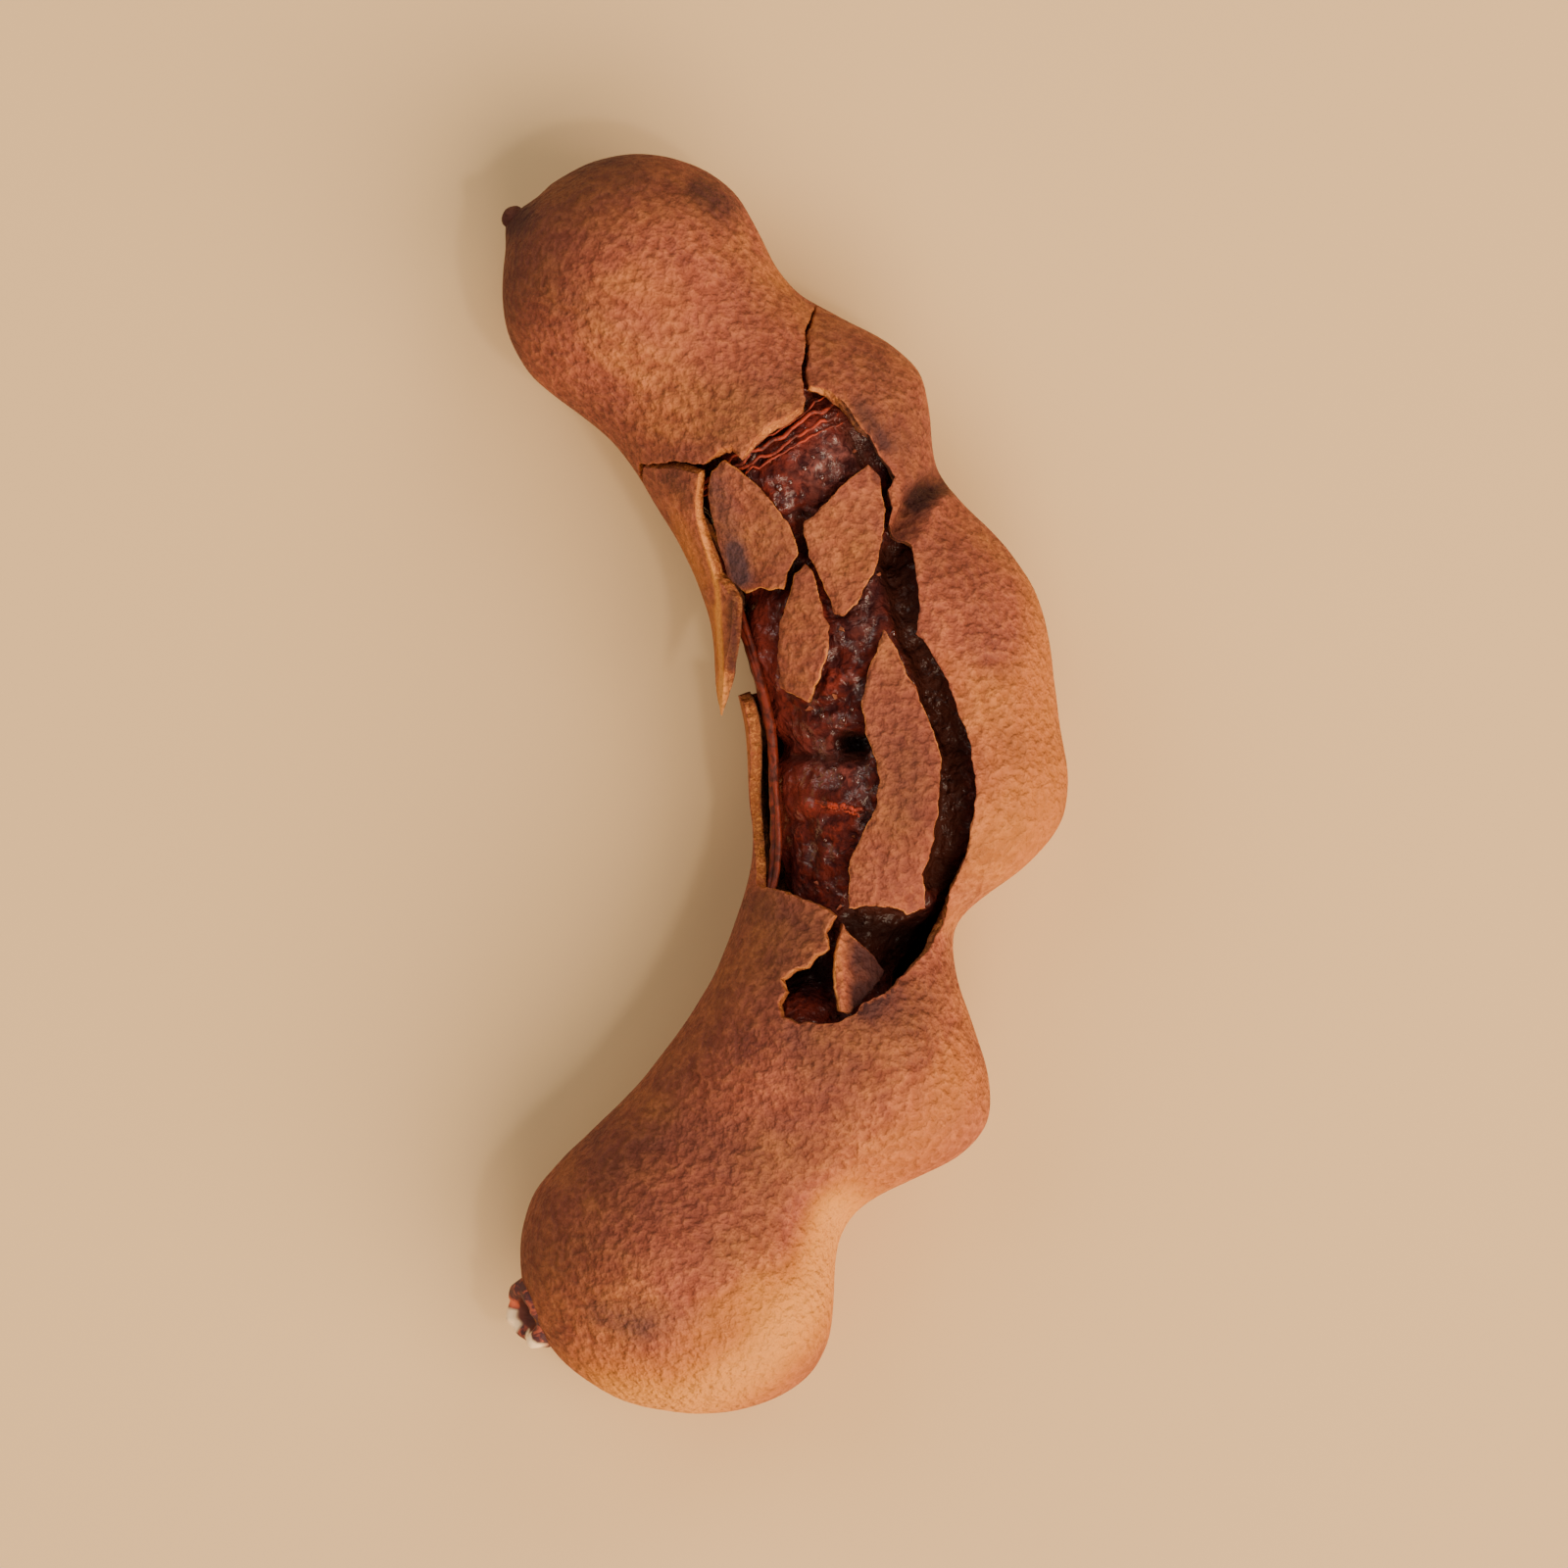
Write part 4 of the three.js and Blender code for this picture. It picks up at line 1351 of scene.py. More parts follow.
@dataclass
class Husk:
    """The brittle husk, cracked open on its upper side, with the beak's blunt knob at its tip."""

    skin: Skin
    material: bpy.types.Material
    wall: float = 1.0
    ring_step: float = 0.45
    sides: int = 190
    lining_step: float = 2.2  # how much coarser the lining is than the skin
    lining_relief: float = 0.6  # share of the skin's relief that shows in the lining
    swell: float = 0.2  # how far the skin rises and falls between wrinkles
    swells: tuple[Ripple, ...] = (Ripple(8.0, 1.0, 11.0), Ripple(3.1, 0.45, 23.0))
    dent_rise: float = 4.0  # how fast dents start above the pod's mid height
    fade_height: float = 10.0  # the height over which tones fade towards the underside
    fade_left: float = 0.8  # share of that fade which is left at the pod's mid height
    least_tone: float = 0.4  # share of the tones that the underside keeps
    beak_root: tuple[float, float] = (-22.8, 49.3)
    beak_facing: tuple[float, float] = (-0.93, 0.37)
    beak_height: float = 0.85
    beak_start: float = -3.0  # where the beak starts to rise, ahead of its root
    beak_width: float = 1.8
    beak_knob: tuple[float, float] = (-23.45, 50.0)
    knob_radius: float = 1.05
    knob_sides: int = 24
    knob_rings: int = 14
    knob_ripple: Ripple = Ripple(0.9, 0.12, 71.0)
    # The knob is painted dark with the shade colour: partly the beak's own dark colour, partly painted
    # shade.
    knob_tone: float = -1.5
    seam_reach: float = 1.25  # how far round the knob its seam reaches, in knob radii
    edge: tuple[Layer, ...] = (
        Layer(-2.0, 0.0), Layer(-0.45, 0.0), Layer(0.12, 0.02), Layer(0.4, 0.16),
        Layer(0.7, 0.3), Layer(1.0, 0.45), Layer(2.4, 0.55),
    )
    crack_edge: tuple[Layer, ...] = (Layer(-2.0, 0.0), Layer(2.4, 0.0))
    cutter_spacing: float = 2.5
    least_slope: float = 0.12  # factor on the edge's insets where nothing slopes the break

    def relief(self, along: Array, around: Array) -> Array:
        """Gives how far the skin stands out from its plain form, in millimetres."""
        base = self.skin.place(along, around, 0.0)
        top = held(np.sin(around) * self.dent_rise)
        return self.swell * uneven(base, *self.swells) + marked(DENTS, base, top)

    def surface(self, places: Array, depths: Array) -> Array:
        """Gives points at unrolled places and depths under the real, uneven skin."""
        along, around = places[:, 0], places[:, 1] / ROLL_RADIUS
        return self.skin.place(along, around, depths - self.relief(along, around))

    def beaked(self, points: Array) -> Array:
        """Draws the skin out a little towards the beak at the pod's tip."""
        facing = unit(np.array([*self.beak_facing, 0.0]))
        from_root = points - np.array([*self.beak_root, self.skin.axis_height])
        ahead = from_root @ facing
        away = np.linalg.norm(from_root - ahead[:, None] * facing, axis=1)
        rise = np.where(ahead > self.beak_start, np.exp(-((away / self.beak_width) ** 2)), 0.0)
        return points + (rise * self.beak_height)[:, None] * facing

    def knob_middle(self) -> Array:
        """Gives the middle of the knob."""
        return np.array([*self.beak_knob, self.skin.axis_height])

    def knob(self) -> bpy.types.Object:
        """Makes the small blunt knob that the beak ends in."""
        points, faces = unit_ball(self.knob_sides, self.knob_rings)
        points *= self.knob_radius * (1 + uneven(points, self.knob_ripple))[:, None]
        points += self.knob_middle()
        values = {"below": np.zeros(len(points)), "tone": np.full(len(points), self.knob_tone)}
        return outward_facing(make_object("knob", points, faces, values))

    def even_seam(self, mesh: bpy.types.Mesh) -> None:
        """Gives the points round the knob's seam the depth and the tone of its skin."""
        points = np.empty(3 * len(mesh.vertices))
        mesh.vertices.foreach_get("co", points)
        away = np.linalg.norm(points.reshape(-1, 3) / MM - self.knob_middle(), axis=1)
        for key, level in (("below", 0.0), ("tone", self.knob_tone)):
            values = np.empty(len(mesh.vertices), dtype=np.float32)
            mesh.attributes[key].data.foreach_get("value", values)
            values[away < self.seam_reach * self.knob_radius] = level
            mesh.attributes[key].data.foreach_set("value", values)

    def sheet(self, depth: float, step: float, sides: int) -> tuple[Array, list, Array]:
        """Makes one closed surface of the husk.

        Args:
            depth: Its depth under the skin.
            step: Distance between its rings.
            sides: Points in each ring.

        Returns:
            The points, the faces, and the tone of each point.
        """
        along, around = self.skin.grid(depth, round(self.skin.beak_dome / step), step, sides)
        share = self.lining_relief if depth else 1.0
        rows = self.skin.place(along, around, depth - share * self.relief(along, around))
        points, faces = self.skin.closed(rows, sides, depth)
        if not depth:
            points = self.beaked(points)
        fade = held((points[:, 2] - self.skin.axis_height) / self.fade_height + self.fade_left)
        return points, faces, marked(TONES, points, self.least_tone + (1 - self.least_tone) * fade)

    def build(self) -> bpy.types.Object:
        """Makes the husk: outer skin, inner lining, and the break between them."""
        outer, outer_faces, outer_tone = self.sheet(0.0, self.ring_step, self.sides)
        inner, inner_faces, inner_tone = self.sheet(
            self.wall, self.lining_step * self.ring_step, self.sides // 2
        )
        bruise = marked(STALK_BRUISES, outer, outer[:, 2] > self.skin.axis_height)
        values = {
            "below": np.concatenate([np.zeros(len(outer)), np.ones(len(inner))]),
            "tone": np.concatenate([outer_tone, inner_tone]),
            "bruise": np.concatenate([bruise, np.zeros(len(inner))]),
        }
        sheets = joined([(outer, outer_faces), (inner, [face[::-1] for face in inner_faces])])
        husk = make_object("husk_shell", *sheets, values)
        combine(husk, self.knob(), Joining.ADD)
        self.even_seam(husk.data)
        ring = ragged(self.skin.locate(BREAK), step=0.3, jag=0.2, seed=40.0)
        self.cut_through(husk, ring, self.edge, jag=0.09, seed=50.0)
        for crack in CRACKS:
            self.cut_through(husk, crack.outline(self.skin), self.crack_edge)
        return dress(husk, self.material, "husk")

    def cut_through(
        self, husk: bpy.types.Object, ring: Array, edge: tuple[Layer, ...], jag: float = 0.0,
        seed: float = 0.0,
    ) -> None:
        """Cuts an opening through the husk's wall.

        Args:
            husk: The husk.
            ring: The opening's outline, unrolled.
            edge: The rings of its edge, from above the skin to below the lining.
            jag: How far its broken edge wanders.
            seed: Offset that tells one break from another.
        """
        seen = self.surface(ring, np.zeros(len(ring)))
        slope = self.least_slope + np.maximum(0.0, uneven(seen, Ripple(3.0, 0.5, seed)))
        points, faces, depths = plate(
            ring, edge, self.cutter_spacing, jag, seed, self.surface, slope + marked(SLOPES, seen)
        )
        # The wall's tones are painted light where it faces the lamp and painted shade where it faces
        # away.
        values = {"below": held(depths / self.wall), "tone": marked(WALL_TONES, points)}
        combine(husk, outward_facing(make_object("cutter", points, faces, values)), Joining.CUT)


@dataclass
class Flake:
    """A loose flake of husk, which has sunk on the pulp and tipped about its own middle."""

    plan: FlakePlan
    husk: Husk
    seed: float
    thickness: float = 0.9
    spacing: float = 0.42
    insets: Rows = ((0.0, 0.15), (0.13, -0.01), (0.4, 0.02), (0.7, 0.08), (1.0, 0.24))
    darker: float = 0.3  # flakes are painted a little darker than the skin round them
    rim: float = 1.2  # how much lighter the rim of a flake is painted than its skin, a painted highlight on its edge
    highlight_shares: tuple[float, float] = (0.05, 0.5)  # the part of the wall that carries the painted highlight
    highlight_kept: float = 0.6  # how much of that part does so on average

    def build(self) -> bpy.types.Object:
        """Makes the flake, and dresses it as husk."""
        outline = self.husk.skin.locate(self.plan.outline)
        ring = ragged(outline, step=0.28, jag=0.2, seed=self.seed)
        layers = edge_layers(self.plan.sink, self.thickness, self.insets)
        points, faces, depths = plate(
            ring, layers, self.spacing, jag=0.07, seed=self.seed, surface=self.husk.surface
        )
        tone, bruise = marked(TONES, points), marked(BRUISES, points)
        low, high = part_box(self.plan.name)
        middle = np.array((low + high) / 2) / MM
        turn = Matrix.Identity(3)
        for degrees, axis in zip(self.plan.tip, "XYZ"):
            turn = turn @ Matrix.Rotation(math.radians(degrees), 3, axis)
        points = (points - middle) @ np.array(turn).T + middle
        below = (depths - self.plan.sink) / self.thickness
        fresh = (below > self.highlight_shares[0]) & (below < self.highlight_shares[1])
        patchy = held(self.highlight_kept + uneven(points, Ripple(2.6, 1.3, self.seed)))
        # The flake's rim gets a painted highlight in patches, on top of the skin's tones.
        tone = tone - self.darker + np.where(fresh, self.rim * patchy, 0.0)
        values = {"below": below, "tone": tone, "bruise": bruise}
        flake = make_object(self.plan.name + "_broken", points, faces, values)
        return dress(outward_facing(flake), self.husk.material, self.plan.name)


@dataclass
class Splinter:
    """The long strip of husk on the hollow side, whose point bows away from the pod."""

    husk: Husk
    thickness: float = 0.95
    spacing: float = 0.42
    insets: Rows = ((0.0, 0.05), (0.1, 0.03), (0.4, -0.06), (0.7, -0.12), (1.0, -0.16))
    bow_from: float = 20.0
    bow_reach: float = 12.0
    bow: float = 2.2
    taper: float = 5.0  # the length over which the splinter thins out to its point
    tip_share: float = 0.12  # share of the thickness that the point keeps

    def surface(self, places: Array, depths: Array) -> Array:
        """Gives points of the splinter, which thins out to a sharp point."""
        thin = np.clip((places[:, 0].max() - places[:, 0]) / self.taper, self.tip_share, 1.0)
        return self.husk.surface(places, depths * thin)

    def build(self) -> bpy.types.Object:
        """Makes the splinter, and dresses it as husk."""
        ring = ragged(self.husk.skin.locate(SPLINTER), step=0.3, jag=0.07, seed=81.0)
        layers = edge_layers(0.0, self.thickness, self.insets)
        points, faces, depths = plate(
            ring, layers, self.spacing, jag=0.05, seed=83.0, surface=self.surface
        )
        bowed = np.maximum(0.0, (self.bow_from - points[:, 1]) / self.bow_reach)
        points[:, 0] -= self.bow * bowed**2
        # The splinter's tones add painted light on its rim and lit face, and painted shade on its inner
        # face.
        values = {"below": depths / self.thickness, "tone": marked(TONES + SPLINTER_TONES, points)}
        splinter = make_object("splinter_strip", points, faces, values)
        return dress(outward_facing(splinter), self.husk.material, "splinter")


@dataclass(frozen=True)
class Pinch:
    """A place where the pulp is pinched between two seeds, and the share of its width it keeps."""

    along: float
    half: float
    keep: float


@dataclass
class Pulp:
    """The pulp round the seeds: lobed, pinched between the seeds, and lumpy."""

    skin: Skin
    material: bpy.types.Material
    depth: float = 2.15
    hollow_depth: float = 3.5
    ring_step: float = 0.42
    dome_rings: int = 22
    sides: int = 200
    pinches: tuple[Pinch, ...] = (
        Pinch(21.0, 2.6, 0.84), Pinch(40.0, 2.4, 0.86), Pinch(58.0, 1.8, 0.93),
        Pinch(78.0, 4.2, 0.5), Pinch(97.0, 2.8, 0.84),
    )
    lumps: tuple[Ripple, ...] = (
        Ripple(4.2, 0.35, 3.0), Ripple(1.7, 0.45, 9.0), Ripple(0.8, 0.16, 17.0),
    )
    deepest: float = -3.0  # how far furrows may sink the surface, and lumps raise it
    highest: float = 0.75
    furrow_rise: float = 3.0  # how fast furrows start above the pod's mid height
    furrow_shade: float = -0.7  # how fast painted shade darkens a furrow with its depth
    fade_height: float = 2.0  # the height over which tones fade towards the underside
    fade_left: float = 0.7  # share of that fade which is left at the pod's mid height

    def kept(self, along: Array) -> Array:
        """Gives the share of the section that the pulp keeps."""
        share = np.ones_like(along)
        for pinch in self.pinches:
            nearness = np.exp(-(((along - pinch.along) / pinch.half) ** 2))
            share = share * (1 - (1 - pinch.keep) * nearness)
        return share

    def surface(self, along: Array, around: Array) -> tuple[Array, Array]:
        """Gives points of the pulp's surface, and how deep in a furrow each one is."""
        kept = self.kept(along)
        base = self.skin.place(along, around, self.depth, kept, self.hollow_depth)
        height = np.sin(around) * self.furrow_rise
        furrow = marked(FURROWS, base, held(height))
        raised = np.clip(uneven(base, *self.lumps) + furrow, self.deepest, self.highest)
        hollow_depth = self.hollow_depth - raised - marked(FILLS, base, held(height + 1.0))
        points = self.skin.place(along, around, self.depth - raised, kept, hollow_depth)
        return points, held(self.furrow_shade * furrow)

    def seats(self, plan: Plan) -> Array:
        """Gives the points of the pulp's surface under points of the plan."""
        spots = self.skin.locate(plan)
        return self.surface(spots[:, 0], spots[:, 1] / ROLL_RADIUS)[0]

    def build(self) -> bpy.types.Object:
        """Makes the pulp and dresses it."""
        grid = self.skin.grid(self.depth, self.dome_rings, self.ring_step, self.sides)
        rows, hollow = self.surface(*grid)
        points, faces = self.skin.closed(rows, self.sides, self.depth)
        top = held((points[:, 2] - self.skin.axis_height) / self.fade_height + self.fade_left)
        values = {
            # The pulp's tones carry painted light and shade, and the marked patches a painted sheen.
            "hollow": np.concatenate([[0.0], hollow, [0.0]]),
            "tone": marked(PULP_TONES, points, top),
            "painted_sheen": marked(PAINTED_SHEENS, points, top),
        }
        pulp = make_object("pulp_body", points, faces, values, crease_angle=180.0)
        return dress(outward_facing(pulp), self.material, "pulp")


@dataclass(frozen=True)
class SideFibres:
    """A few thin strands that leave the main one together and cross over the pulp."""

    along: float
    slant: float
    start: float  # turn round the spine where they leave, in degrees
    reach: float
    depth: float
    strands: Rows  # for each strand: its offset along the pod, its radius
    gathered: float = 0.4  # how far apart they start, as a share of how far apart they end


@dataclass
class Fibres:
    """The strands between husk and pulp: a stout one on the hollow side, thin ones across."""

    skin: Skin
    material: bpy.types.Material
    around: float = 160.0
    depth: float = 1.62
    end_clearance: float = 9.0
    step: float = 0.5
    strand_sides: int = 10
    side_points: int = 60
    main: Rows = ((0.0, 0.44), (3.0, 0.28), (-3.4, 0.28))
    sides: tuple[SideFibres, ...] = (
        SideFibres(
            29.2, 1.0, 150.0, 95.0, 1.75,
            ((0.0, 0.2), (0.85, 0.15), (-0.75, 0.11), (1.7, 0.1)),
        ),
        SideFibres(63.7, 0.5, 125.0, 27.0, 1.55, ((0.0, 0.2), (0.5, 0.1))),
        SideFibres(99.0, 2.0, 157.0, 70.0, 1.75, ((0.0, 0.3),)),
    )
    sway: float = 1.5  # how far main strands swing round the pod, in degrees
    sway_length: float = 5.0
    stray_along: float = 0.4  # how far strands stray along the pod, round it in degrees, and in depth
    stray_around: float = 1.2
    stray_deep: float = 0.15
    end_points: int = 5  # points over which a strand tapers to its end
    end_share: float = 0.25  # share of its radius that the end keeps
    first_seed: float = 5.0

    def strand(self, along: Array, around: Array, depth: float, radius: float, seed: float) -> Mesh:
        """Makes one strand.

        Args:
            along: Places along the spine that it passes.
            around: Turns round the spine at those places, in degrees.
            depth: Its depth under the skin.
            radius: Its radius.
            seed: Offset that tells one strand from another.

        Returns:
            The points and the faces.
        """
        count = len(along)
        number = np.arange(count)
        line = np.stack([number * self.step, np.full(count, seed), np.zeros(count)], axis=1)
        wave = uneven(line, Ripple(2.6, 1.0, seed), Ripple(1.1, 0.5, seed + 7))
        route = self.skin.place(
            along + self.stray_along * wave, np.radians(around + self.stray_around * wave),
            depth + self.stray_deep * wave,
        )
        radii = radius * (1 + uneven(line, Ripple(1.3, 0.25, seed + 2)))
        to_end = np.minimum(number + 1, count - number) / self.end_points
        return tube(route, radii * np.clip(to_end, self.end_share, 1.0), self.strand_sides)

    def build(self) -> bpy.types.Object:
        """Makes all strands as one piece, and dresses it."""
        parts = []
        along = np.arange(self.end_clearance, self.skin.length - self.end_clearance, self.step)
        for number, (offset, radius) in enumerate(self.main):
            around = self.around + offset + self.sway * np.sin(along / (self.sway_length + number))
            parts.append(self.strand(along, around, self.depth, radius, self.first_seed + number))
        stout = sum(len(points) for points, _ in parts)
        share = np.linspace(0, 1, self.side_points)
        for group in self.sides:
            around = group.start - share * group.reach
            apart = group.gathered + (1 - group.gathered) * share
            for offset, radius in group.strands:
                route = group.along + offset * apart + share * group.slant
                parts.append(self.strand(route, around, group.depth, radius, group.along + offset))
        points, faces = joined(parts)
        values = {"thin": (np.arange(len(points)) >= stout).astype(float)}
        fibres = make_object("fibre_strands", points, faces, values, crease_angle=180.0)
        return dress(outward_facing(fibres), self.material, "fibres")


@dataclass
class StalkStub:
    """The torn end of the stalk: a ragged collar round a hollow, which faces sideways and up."""

    axis_height: float
    material: bpy.types.Material
    root: tuple[float, float] = (-21.6, -46.3)
    facing: tuple[float, float, float] = (-0.84, -0.24, 0.48)
    sides: int = 84
    profile: Rows = (
        # radius, height, share of the torn rim, share of the hollow
        (2.7, -2.4, 0.0, 0.0), (3.2, -1.2, 0.0, 0.0), (3.3, -0.4, 0.0, 0.0), (3.2, 0.3, 0.45, 0.0),
        (3.05, 0.9, 0.9, 0.0), (2.9, 1.35, 1.0, 0.0), (2.5, 1.6, 1.0, 0.0), (2.0, 1.5, 1.0, 0.0),
        (1.6, 1.15, 0.8, 0.2), (1.35, 0.5, 0.0, 0.9), (1.1, 0.0, 0.0, 1.0), (0.75, -0.3, 0.0, 1.0),
        (0.4, -0.4, 0.0, 1.0),
    )
    mean_radius: float = 2.4
    tears: tuple[Ripple, ...] = (Ripple(2.6, 1.0, 31.0), Ripple(1.0, 0.35, 37.0))
    bark: Ripple = Ripple(0.8, 0.12, 41.0)
    tear_out: float = 0.18  # how far the tear goes in and out, and up and down
    tear_up: float = 0.9
    highest_tear: float = 0.2
    tear_turn: float = 8.0  # how far it moves the ranges below, in degrees
    flesh_turn: tuple[float, float] = (208.0, 246.0)  # where red flesh shows, in degrees
    torn_turns: Rows = ((238.0, 308.0), (316.0, 388.0))  # pale wood
    blend: float = 13.0  # degrees over which one goes over into the next

    def within(self, degrees: Array, turn: tuple[float, float]) -> Array:
        """Says how far inside a range of turns each angle lies, from 0 to 1."""
        return held(np.minimum(degrees - turn[0], turn[1] - degrees) / self.blend)

    def build(self) -> bpy.types.Object:
        """Makes the stub and dresses it."""
        facing = unit(np.array(self.facing))
        across = unit(np.cross([0.0, 0.0, 1.0], facing))
        up = np.cross(facing, across)
        root = np.array([*self.root, self.axis_height])
        turn = full_turn(self.sides)
        loop = level_circle(turn, self.mean_radius)
        tear = uneven(loop, *self.tears)
        rows = []
        for radius, height, rim_share, _ in self.profile:
            out = radius + self.tear_out * tear + uneven(loop + height, self.bark)
            forward = height + self.tear_up * rim_share * np.minimum(tear, self.highest_tear)
            rows.append(
                root
                + across * (np.cos(turn) * out)[:, None]
                + up * (np.sin(turn) * out)[:, None]
                + facing * forward[:, None]
            )
        first, last = (root + facing * self.profile[end][1] for end in (0, -1))
        points, faces = closed_grid(self.sides, first, np.vstack(rows), last)
        rim, hollow = (np.repeat([row[k] for row in self.profile], self.sides) for k in (2, 3))
        degrees = np.degrees(turn) + self.tear_turn * tear
        laps = [self.within(degrees + lap, span) for span in self.torn_turns for lap in (0.0, 360.0)]
        torn = np.tile(np.minimum(sum(laps), 1.0), len(rows))
        flesh = np.tile(self.within(degrees, self.flesh_turn), len(rows))
        values = {
            "rim": np.concatenate([[0.0], rim * torn, [0.0]]),
            "hollow": np.concatenate([[0.0], hollow, [1.0]]),
            "flesh": np.concatenate([[0.0], flesh, [0.0]]),
        }
        stub = make_object("torn_stalk", points, faces, values)
        return dress(outward_facing(stub), self.material, "stalk_stub")


@dataclass
class Crumbs:
    """Husk crumbs that fell on the pulp when the husk broke: one piece of many small chips."""

    pulp: Pulp
    husk: Husk
    size: float = 0.4
    sizes: tuple[float, float] = (0.5, 1.3)  # least and most, as shares of the size
    corners: tuple[int, int] = (5, 8)  # least, and one over the most
    corner_reach: tuple[float, float] = (0.6, 1.0)
    narrow: float = 0.7  # a chip's width and half its thickness, as shares of its length
    thick: float = 0.3
    lower: float = 0.85  # how much smaller its lower face is than its upper one
    lift: float = 0.1
    most_tilt: float = 0.5
    most_turn: float = 6.28
    lower_depth: float = 0.6  # the depth in the wall whose colour its lower face has
    tone: float = -0.5
    seed: int = 7
    places: Plan = (
        (-1.0, 28.6), (7.6, 30.0), (2.1, 19.2), (9.4, 18.8), (4.8, 13.4), (0.4, 6.4), (3.4, 7.6),
        (5.4, -4.4), (1.0, -7.8), (3.9, -10.2),
    )

    def chip(self, seat: Array, rng: np.random.Generator) -> Mesh:
        """Makes one chip.

        Args:
            seat: Where it lies.
            rng: The source of its shape and of how it lies.

        Returns:
            The points, those of its upper face first, and the faces.
        """
        count = int(rng.integers(*self.corners))
        size = self.size * rng.uniform(*self.sizes)
        turn = np.sort(rng.uniform(0, 2 * math.pi, count))
        reach = size * rng.uniform(*self.corner_reach, count)
        flat = level_circle(turn, reach) * [1.0, self.narrow, 1.0]
        thick = np.array([0.0, 0.0, self.thick * size])
        tilt = Matrix.Rotation(rng.uniform(-self.most_tilt, self.most_tilt), 3, "X")
        tilt = np.array(tilt @ Matrix.Rotation(rng.uniform(0, self.most_turn), 3, "Z"))
        points = np.vstack([flat + thick, flat * self.lower - thick]) @ tilt.T
        faces = [tuple(range(count)), tuple(range(2 * count - 1, count - 1, -1))]
        faces += [(i, i + count, (i + 1) % count + count, (i + 1) % count) for i in range(count)]
        return points + seat + [0, 0, self.lift], faces

    def build(self) -> bpy.types.Object:
        """Makes the chips, each at its own angle on the pulp, and dresses them as husk."""
        rng = np.random.default_rng(self.seed)
        parts = [self.chip(seat, rng) for seat in self.pulp.seats(self.places)]
        below = [np.repeat([0.0, self.lower_depth], len(points) // 2) for points, _ in parts]
        points, faces = joined(parts)
        values = {"below": np.concatenate(below), "tone": np.full(len(points), self.tone)}
        crumbs = make_object("husk_crumbs", points, faces, values, crease_angle=30.0)
        return dress(outward_facing(crumbs), self.husk.material, None)


@dataclass
class SyrupBeads:
    """Beads of syrup that stand on the pulp, which catch the light as small glints."""

    pulp: Pulp
    material: bpy.types.Material
    sides: int = 14
    rings: int = 7
    height: float = 0.75  # of a bead, as a share of its radius
    beads: Rows = (
        # x, y, radius
        (-0.4, 25.9, 0.38), (0.9, 26.6, 0.24), (2.3, 27.9, 0.26), (4.0, 27.2, 0.3), (3.2, 29.0, 0.2),
        (5.0, 28.6, 0.2), (1.8, 5.9, 0.26), (4.2, 5.7, 0.3), (2.9, 1.5, 0.24), (3.8, 0.8, 0.26),
        (10.4, 13.5, 0.28), (1.0, 3.8, 0.18), (5.4, 6.6, 0.18), (2.2, -4.4, 0.18),
    )

    def build(self) -> bpy.types.Object:
        """Makes the beads as one piece, and dresses them."""
        ball, faces = unit_ball(self.sides, self.rings)
        seats = self.pulp.seats([bead[:2] for bead in self.beads])
        points, faces = joined([
            (ball * radius * [1.0, 1.0, self.height] + seat, faces)
            for seat, (_, _, radius) in zip(seats, self.beads)
        ])
        beads = make_object("syrup_beads", points, faces, crease_angle=180.0)
        return dress(outward_facing(beads), self.material, None)


# ---------------------------------------------------------------- the studio


@dataclass(frozen=True)
class Lamp:
    """A soft box: where it stands, in metres, its size, power and colour."""

    name: str
    place: tuple[float, float, float]
    size: float
    power: float
    colour: str


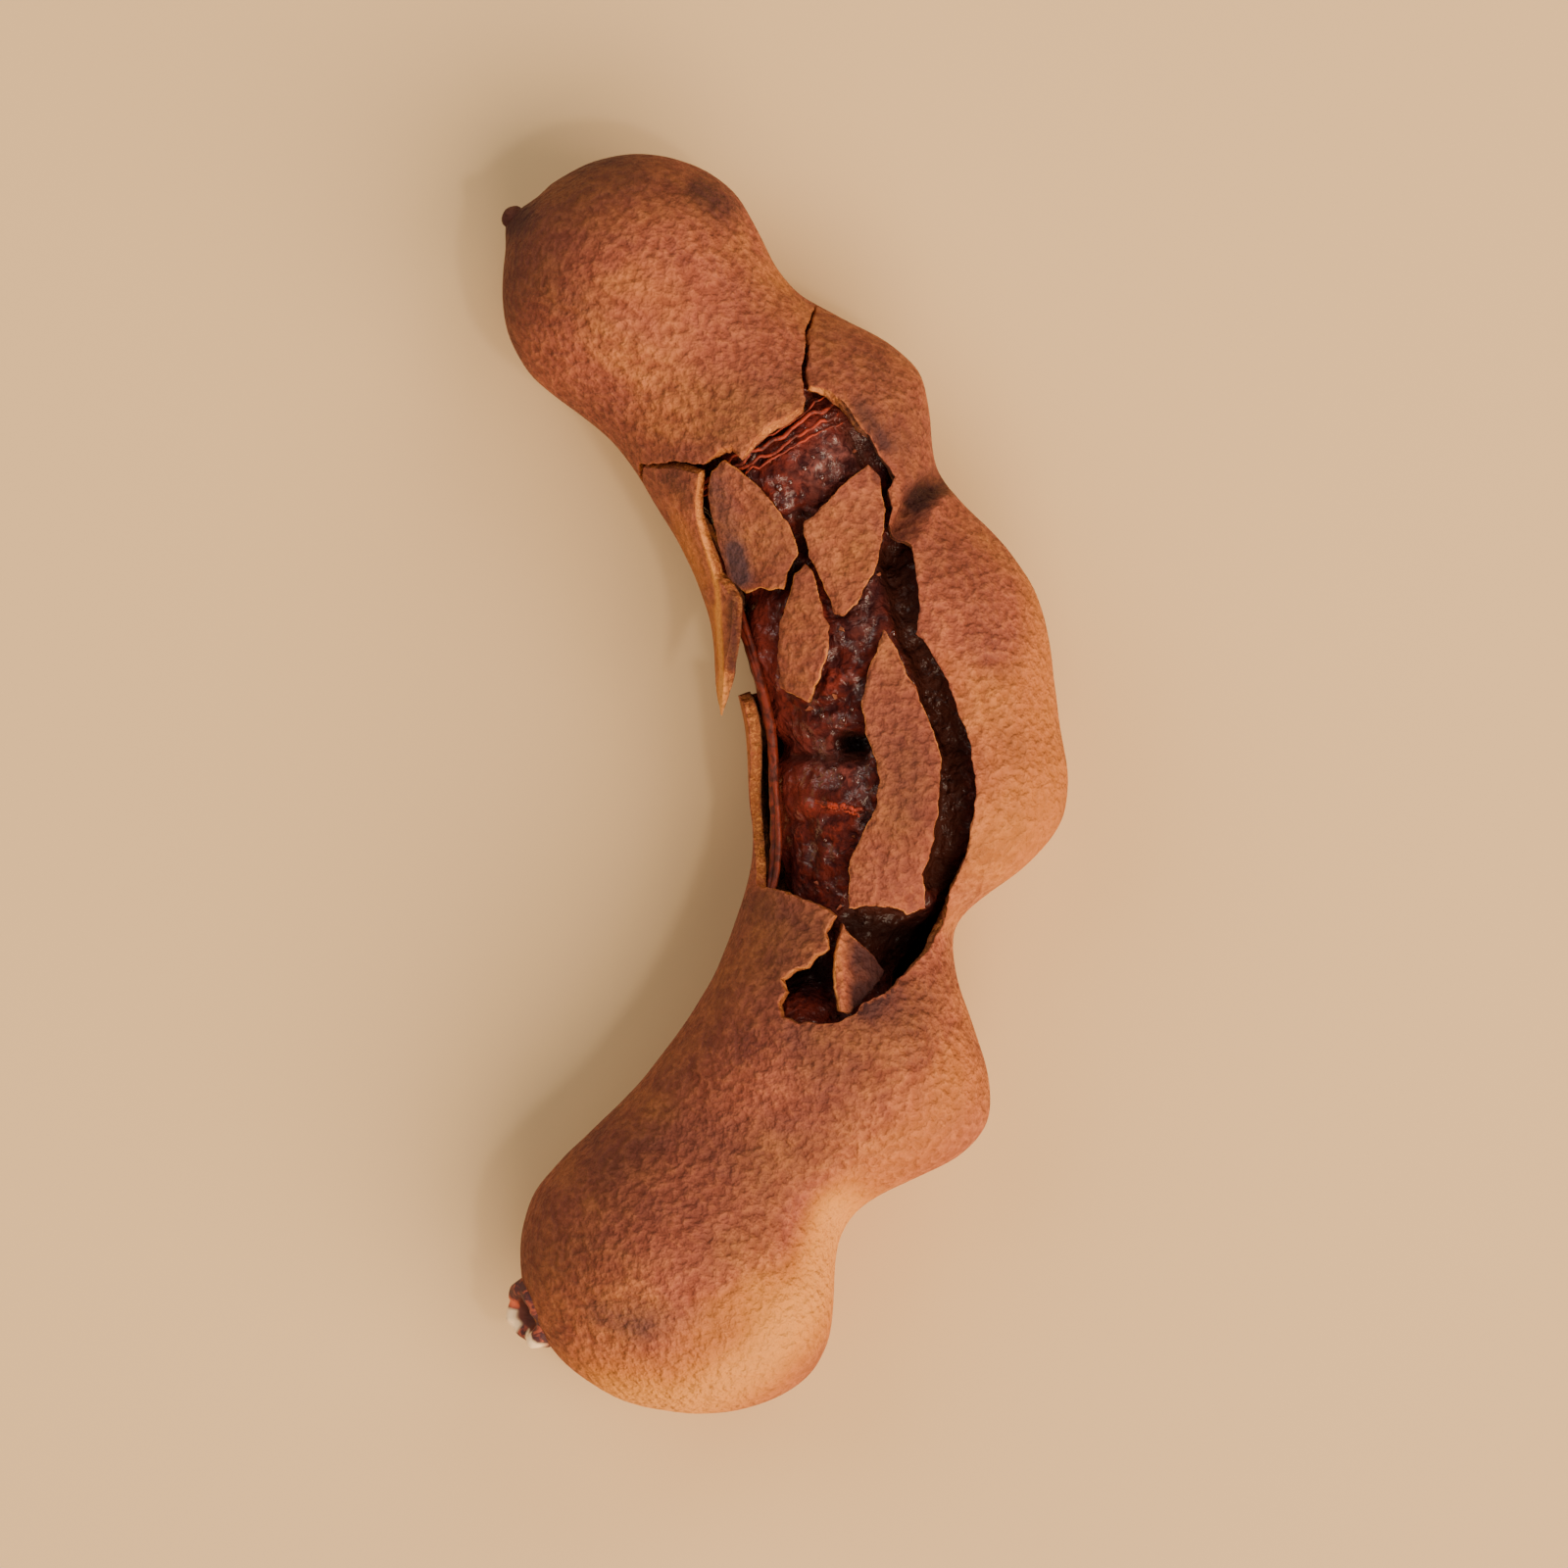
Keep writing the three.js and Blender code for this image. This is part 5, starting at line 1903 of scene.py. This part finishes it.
@dataclass
class Studio:
    """A pale floor, soft boxes that face the pod, and a camera straight above it, in metres."""

    floor_material: bpy.types.Material
    centre: Vector
    floor_size: float = 3.0
    camera_height: float = 1.2
    picture_height: float = 0.138  # what the square picture takes in, from edge to edge
    sensor: float = 36.0  # in millimetres, as Blender wants it
    lamps: tuple[Lamp, ...] = (
        Lamp("key", (0.68, -0.74, 0.7), 1.6, 46.5, "#ffe3c4"),
        Lamp("fill", (-0.7, 0.5, 0.7), 0.9, 5.2, "#f6efe6"),
        Lamp("rear", (0.5, 0.8, 0.7), 0.6, 3.6, "#fff0da"),
        Lamp("glint", (0.3, -0.22, 0.95), 0.07, 1.5, "#fff4e4"),
    )
    sky: str = "#f4ebe0"
    sky_strength: float = 0.3

    def build(self) -> None:
        """Makes the floor, the lights, the sky and the camera."""
        half = self.floor_size / 2
        corners = [(-half, -half, 0.0), (half, -half, 0.0), (half, half, 0.0), (-half, half, 0.0)]
        mesh = bpy.data.meshes.new("floor")
        mesh.from_pydata(corners, [], [(0, 1, 2, 3)])
        mesh.materials.append(self.floor_material)
        in_scene("floor", mesh)
        for lamp in self.lamps:
            self.add_lamp(lamp)
        world = bpy.data.worlds.new("sky")
        world.use_nodes = True
        background = world.node_tree.nodes["Background"]
        background.inputs["Color"].default_value = linear(self.sky)
        background.inputs["Strength"].default_value = self.sky_strength
        bpy.context.scene.world = world
        self.add_camera()

    def add_lamp(self, lamp: Lamp) -> None:
        """Adds a soft box that faces the pod."""
        data = bpy.data.lights.new(lamp.name, "AREA")
        data.shape = "SQUARE"
        data.size = lamp.size
        data.energy = lamp.power
        data.color = linear(lamp.colour)[:3]
        light = in_scene(lamp.name, data)
        light.location = lamp.place
        light.rotation_euler = (self.centre - light.location).to_track_quat("-Z", "Y").to_euler()

    def add_camera(self) -> None:
        """Adds the camera, straight above the pod, with the pod's length up the picture."""
        data = bpy.data.cameras.new("camera")
        data.sensor_width = self.sensor
        data.lens = self.sensor * self.camera_height / self.picture_height
        camera = in_scene("camera", data)
        camera.location = self.centre + Vector((0.0, 0.0, self.camera_height))
        bpy.context.scene.camera = camera


# ---------------------------------------------------------------- the pod


def main() -> None:
    """Builds the pod's pieces and the studio."""
    logging.basicConfig(level=logging.INFO, format="%(name)s: %(message)s")
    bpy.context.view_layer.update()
    low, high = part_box("husk")
    finishes = make_finishes()
    stub_low, stub_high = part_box("stalk_stub")
    skin = Skin(axis_height=(stub_low.z + stub_high.z) / 2 / MM)
    husk = Husk(skin, finishes[Finish.HUSK])
    husk.build()
    for number, plan in enumerate(FLAKES):
        Flake(plan, husk, seed=100.0 + 13 * number).build()
    Splinter(husk).build()
    pulp = Pulp(skin, finishes[Finish.PULP])
    pulp.build()
    Fibres(skin, finishes[Finish.FIBRE]).build()
    StalkStub(skin.axis_height, finishes[Finish.STALK]).build()
    Crumbs(pulp, husk).build()
    SyrupBeads(pulp, finishes[Finish.SYRUP]).build()
    Studio(finishes[Finish.FLOOR], (low + high) / 2).build()
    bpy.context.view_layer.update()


if __name__ == "__main__":
    main()
